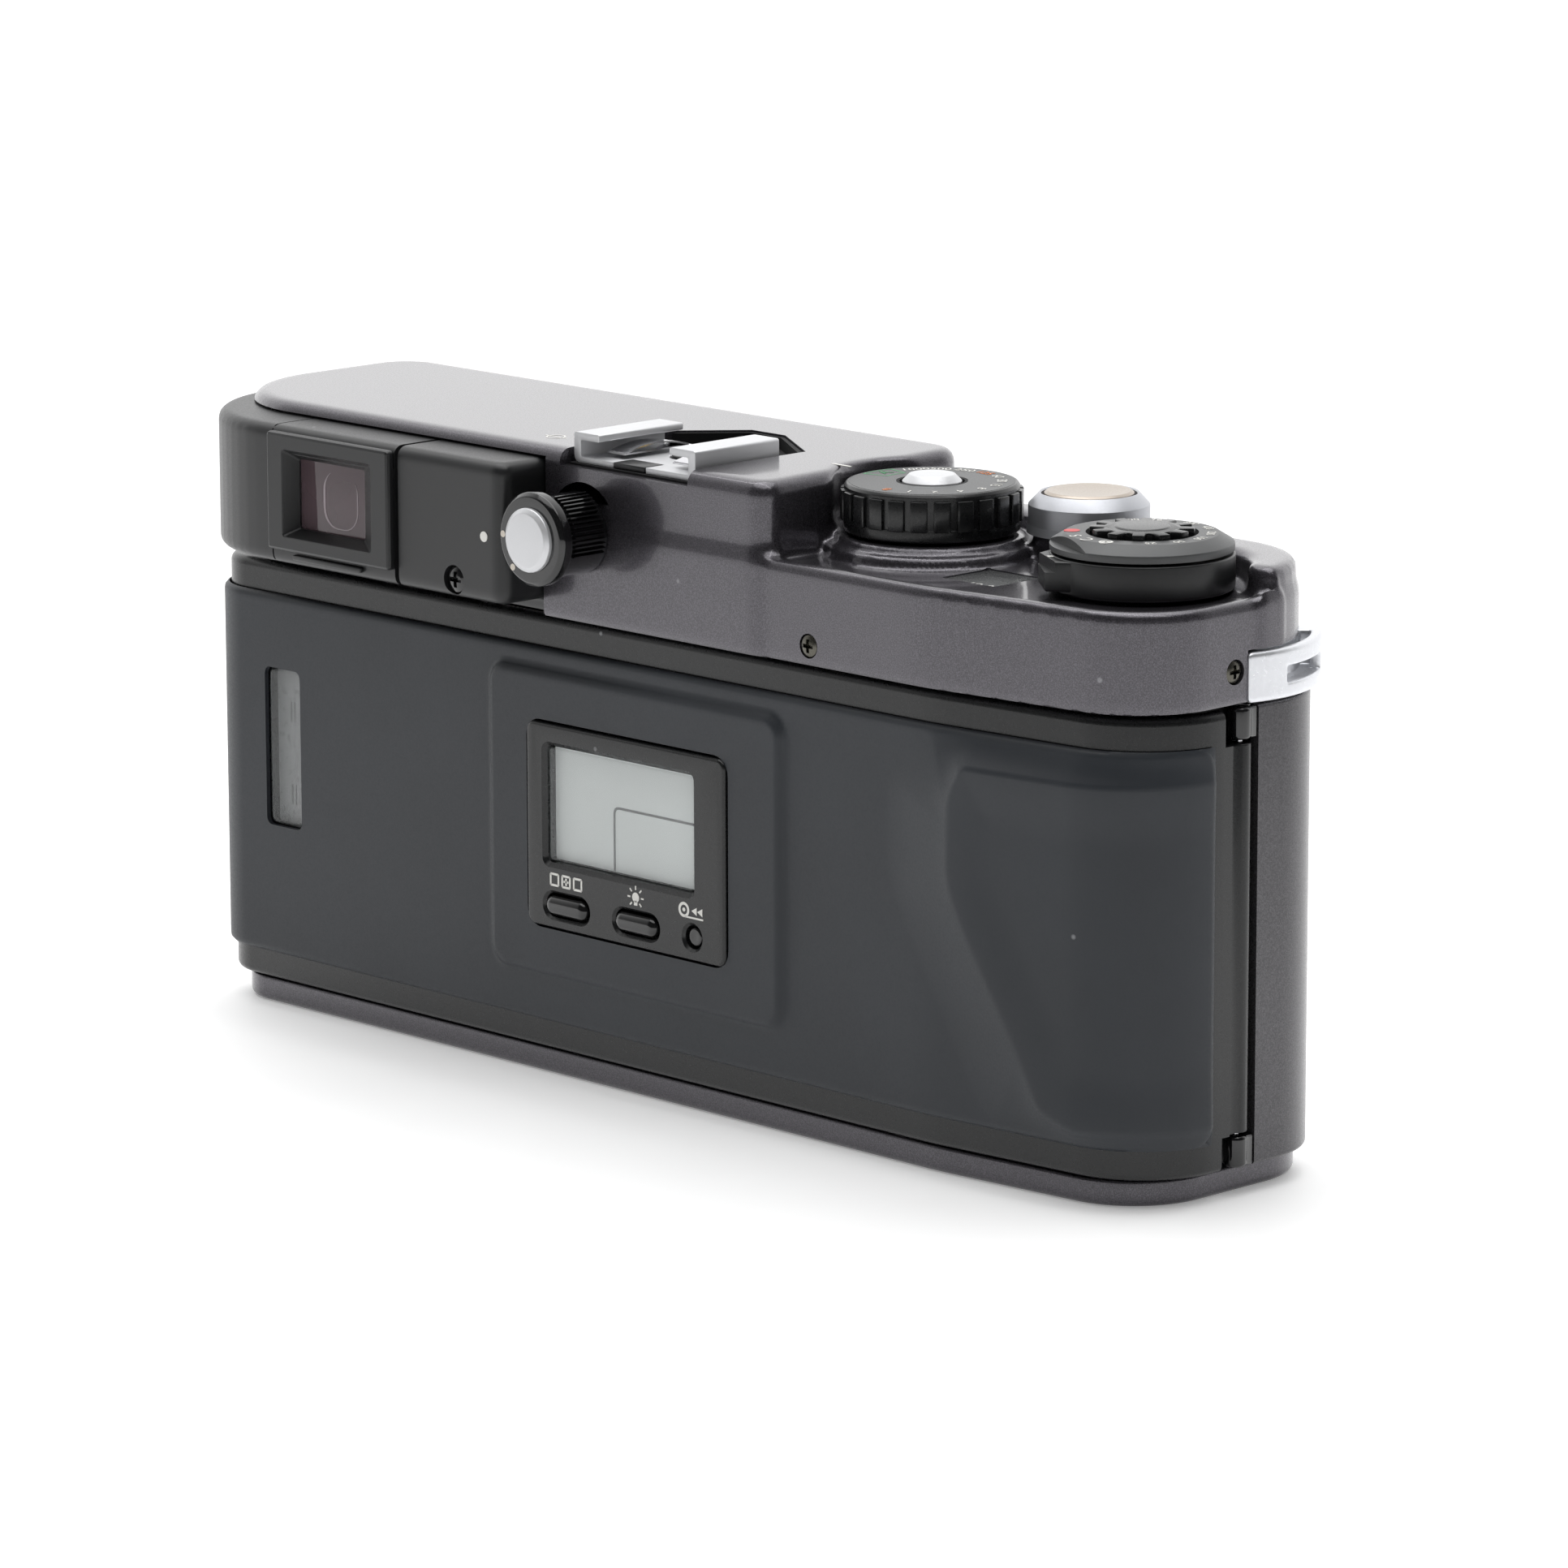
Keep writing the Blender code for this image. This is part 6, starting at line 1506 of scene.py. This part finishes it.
def make_timer_and_off_marks():
    foot, face = 77.2, 77.34
    spot = around(MODE_DIAL, 8.3, 103.0)
    timer = [lathe([(0.85, face), (0.85, foot), (0.58, foot), (0.58, face)], spot, sides=32)]
    for turn in (60.0, 200.0):
        end = around(spot, 0.55, turn)
        low, high = ([pick(pair) for pair in zip(spot, end)] for pick in (min, max))
        timer.append(block((low[0] - 0.08, low[1] - 0.08, foot), (high[0] + 0.08, high[1] + 0.08, face)))
    piece("timer_mark", merged(*timer), WHITE_INK)
    piece("off_mark", cylinder(0.95, face, foot, around(MODE_DIAL, 8.2, 40.0), sides=32), RED_INK)


def make_film_speed():
    """The star-shaped knob in the mode plate, and the film speeds round it."""
    lobes = 12
    outline = []
    for index in range(lobes):
        first = 360.0 * index / lobes
        outline += ring_points(6.15, 4, MODE_DIAL, first + 2.0, first + 15.0)
        outline += ring_points(4.55, 3, MODE_DIAL, first + 18.0, first + 29.0)
    star = bevelled(extruded(outline, 76.75, 77.9), 0.16, 2, 40.0)
    hub = lathe([(0.0, 78.05), (3.2, 78.05, 0.4), (3.6, 77.5), (0.0, 77.5)], MODE_DIAL, sides=64)
    shaft = cylinder(2.0, 77.0, 71.2, MODE_DIAL, sides=32)
    piece("film_speed_star", merged(star, hub, shaft), BLACK_SATIN, "film_speed", "film_speed_knob")
    speeds = [("25", 140.0), ("50", 165.0), ("100", 190.0), ("200", 216.0), ("400", 242.0),
              ("800", 268.0), ("1600", 296.0), ("3200", 326.0)]
    dial_marks("film_speed_numbers", speeds, MODE_DIAL, 8.0, 1.45, MODE_TOP, WHITE_INK, "camera_body")


def make_counter():
    low, high = WINDOW_LOW, WINDOW_HIGH
    middle = ((low.x + high.x) / 2, (low.y + high.y) / 2)
    pane = prism(around_box(low, high, 0.3, 0.5, "xy"), low.z + 0.8, DECK_TOP - 0.15, 0.1)
    piece("counter_pane", pane, CLEAR_PLASTIC, stands_for="frame_counter_window")
    disc = prism(around_box(low, high, -0.1, 0.4, "xy"), 68.8, 69.1)
    piece("counter_disc", disc, BLACK_MATTE)
    numbers = [lettering(text, 2.3, (middle[0] + shift, middle[1]), 180.0, 69.12)
               for text, shift in (("20", 0.0), ("19", 3.1), ("21", -3.1))]
    needle = block((middle[0] - 0.1, high.y - 1.6, 69.1), (middle[0] + 0.1, high.y - 0.4, 69.2))
    piece("counter_numbers", merged(*numbers, needle), WHITE_INK)


def make_format_knob():
    x, z = KNOB
    body = lathe([(0.0, 29.0), (4.35, 29.0), (5.3, 29.0, 0.35), (5.8, 28.5, 0.3), (5.8, 27.3, 0.4),
                  (5.05, 26.7), (5.05, 20.8, 0.2), (2.0, 20.7), (2.0, 17.0), (0.0, 17.0)], KNOB, "Y", 120)
    ribs = []
    for sector in (110.0, 290.0):
        for index in range(15):
            rib = extruded([(-0.2, 4.9), (0.2, 4.9), (0.09, 5.6), (-0.09, 5.6)], 21.5, 26.6, "Y")
            turn = math.radians(90.0 - sector - 6.4 * index)
            rib.transform(Matrix.Rotation(turn, 4, "Y"))
            bmesh.ops.translate(rib, vec=(x, 0.0, z), verts=rib.verts)
            ribs.append(rib)
    piece("format_knob_body", merged(body, *ribs), BLACK_GLOSS, "format_switch", "format_knob",
          smooth=35.0)
    cap = lathe([(0.0, 29.9), (3.35, 29.86, 0.3), (3.95, 29.45, 0.25), (3.95, 28.8), (0.0, 28.8)],
                KNOB, "Y", 80)
    piece("format_knob_cap", cap, ALUMINIUM, "format_switch")
    dots = [cylinder(0.42, 29.03, 28.9, around(KNOB, 4.85, turn), "Y") for turn in (2.0, -50.0)]
    piece("format_knob_dots", merged(*dots), CREAM_INK, "format_switch")
    collar = lathe([(2.6, 20.3), (6.3, 20.3, 0.3), (6.5, 19.0), (2.6, 19.0)], KNOB, "Y", 64)
    piece("format_knob_seat", collar, PAINT)


def lug_field(side):
    outer = polygon_distance(lug_sector(side, 13.3, LUG[2]))
    slot = polygon_distance(lug_sector(side, 14.5, 15.9, 171.0, 224.0))
    window = polygon_distance(lug_sector(side, 15.2, 19.0, 183.0, 216.0))

    def field(x, y, z):
        plan = outer(x, y)
        body = blend_both(slab(plan, z, LUG_HIGH, 0.55), slab(plan, -z, -LUG_LOW, 0.55), 0.01)
        body = blend_cut(body, np.maximum(slot(x, y), LUG_LOW + 1.9 - z), 0.35)
        opening = np.maximum(window(x, y), np.abs(z - LUG_LOW - 2.8) - 0.95)
        return blend_cut(body, opening, 0.3)

    return field


def make_lugs():
    step = 0.18
    for side, name in ((-1, "strap_lug_right"), (1, "strap_lug_left")):
        low, high = node_box(name)
        pad = Vector((0.6, 0.6, 0.6))
        work = field_solid(low - pad, high + pad, step, lug_field(side))
        piece(name + "_casting", work, CAST_SILVER, stands_for=name, smooth=60.0)


def make_cover_screws():
    radius, depth = 1.42, 5.5
    make_phillips("cover_screw_head_1", BACK_SCREW, COVER_BACK + 0.2, radius, SCREW_BLACK,
                  "cover_screw_1", depth)
    make_phillips("cover_screw_head_2", END_SCREW, -END_WALL, radius, SCREW_BLACK, "cover_screw_2",
                  depth, turn=90.0)


for make in (make_top_cover, make_viewfinder, make_front_cover, make_front_skins, make_bottom_plate,
             make_door, make_door_rubber, make_display, make_display_symbols, make_latch,
             make_lens_mount, make_contacts_and_lamp, make_shutter, make_inner, make_shoe,
             make_speed_dial, make_release, make_mode_dial, make_film_speed, make_counter,
             make_format_knob, make_lugs, make_cover_screws):
    make()


# ---------------------------------------------------------------- camera, light and floor

VIEW_TURN = 46.026            # degrees from +Y towards -X
VIEW_RISE = 11.872            # degrees above the horizon
VIEW_ROLL = -0.154
VIEW_DISTANCE = 929.283
VIEW_TARGET = Vector((-6.135, 0.0, 37.952))
LENS_MM, SENSOR_MM = 173.18, 36.0
DARK_SIDE, BRIGHT_SIDE = 0.05, 1.35   # the studio walls behind the camera and beyond the object
FLOOR_GLOW = 0.24             # the floor is a light table
WHITE = (1.0, 1.0, 1.0, 1.0)


def make_camera():
    turn, rise, roll = (math.radians(v) for v in (VIEW_TURN, VIEW_RISE, VIEW_ROLL))
    back = Vector((-math.sin(turn) * math.cos(rise), math.cos(turn) * math.cos(rise), math.sin(rise)))
    right = (-back).cross(UP).normalized()
    above = right.cross(-back)
    across = right * math.cos(roll) + above * math.sin(roll)
    upward = above * math.cos(roll) - right * math.sin(roll)
    data = bpy.data.cameras.new("camera")
    data.lens = LENS_MM
    data.sensor_width = SENSOR_MM
    data.clip_start, data.clip_end = 0.05, 20.0
    camera = placed("camera", data)
    camera.matrix_world = Matrix((
        (across.x, upward.x, back.x, (VIEW_TARGET.x + back.x * VIEW_DISTANCE) * MM),
        (across.y, upward.y, back.y, (VIEW_TARGET.y + back.y * VIEW_DISTANCE) * MM),
        (across.z, upward.z, back.z, (VIEW_TARGET.z + back.z * VIEW_DISTANCE) * MM),
        (0.0, 0.0, 0.0, 1.0)))
    bpy.context.scene.camera = camera


def area_light(name, place, size, power, height=None):
    """A lamp panel that faces the frame's origin."""
    data = bpy.data.lights.new(name, "AREA")
    data.energy = power
    data.size = size
    if height:
        data.shape = "RECTANGLE"
        data.size_y = height
    light = placed(name, data)
    light.location = place
    light.rotation_mode = "QUATERNION"
    light.rotation_quaternion = (-Vector(place)).to_track_quat("-Z", "Y")


def make_studio():
    world = bpy.data.worlds.new("studio")
    bpy.context.scene.world = world
    world.use_nodes = True
    tree = world.node_tree
    place = tree.nodes.new("ShaderNodeTexCoord")
    turn = math.radians(VIEW_TURN)
    facing = add_node(tree, "VectorMath", {1: (math.sin(turn), -math.cos(turn), 0.0)},
                      {0: place.outputs["Generated"]})
    facing.operation = "DOT_PRODUCT"
    spread = add_node(tree, "MapRange", {"From Min": -0.25, "From Max": 0.65, "To Min": DARK_SIDE,
                                         "To Max": BRIGHT_SIDE}, {"Value": facing.outputs["Value"]})
    spread.interpolation_type = "SMOOTHSTEP"
    background = tree.nodes["Background"]
    tree.links.new(spread.outputs["Result"], background.inputs["Strength"])
    background.inputs["Color"].default_value = WHITE
    floor_material = surface("studio_floor", (0.92, 0.92, 0.92), 0.55, 0.0, grain=40.0, bump=0.01,
                             depth=0.01, vary=0.004, specular=0.2)
    floor_shader = nodes_of(floor_material)[1]
    floor_shader.inputs["Emission Color"].default_value = WHITE
    floor_shader.inputs["Emission Strength"].default_value = FLOOR_GLOW
    shape = bmesh.new()
    bmesh.ops.create_grid(shape, x_segments=2, y_segments=2, size=3.0)
    mesh = mesh_from(shape, "floor")
    mesh.materials.append(floor_material)
    floor = placed("floor", mesh)
    floor.location.z = (BASE_LOW.z - 0.05) * MM
    sun = bpy.data.lights.new("sky_panel", "SUN")
    sun.energy = 1.2
    sun.angle = math.radians(70.0)
    placed("sky_panel", sun)
    area_light("overhead_soft_box", (0.0, 0.05, 0.80), 0.9, 2.0)
    area_light("overhead_strip", (0.0, 0.02, 0.78), 1.5, 1.2, height=0.06)
    bpy.context.scene.view_settings.view_transform = "Standard"


make_camera()
make_studio()

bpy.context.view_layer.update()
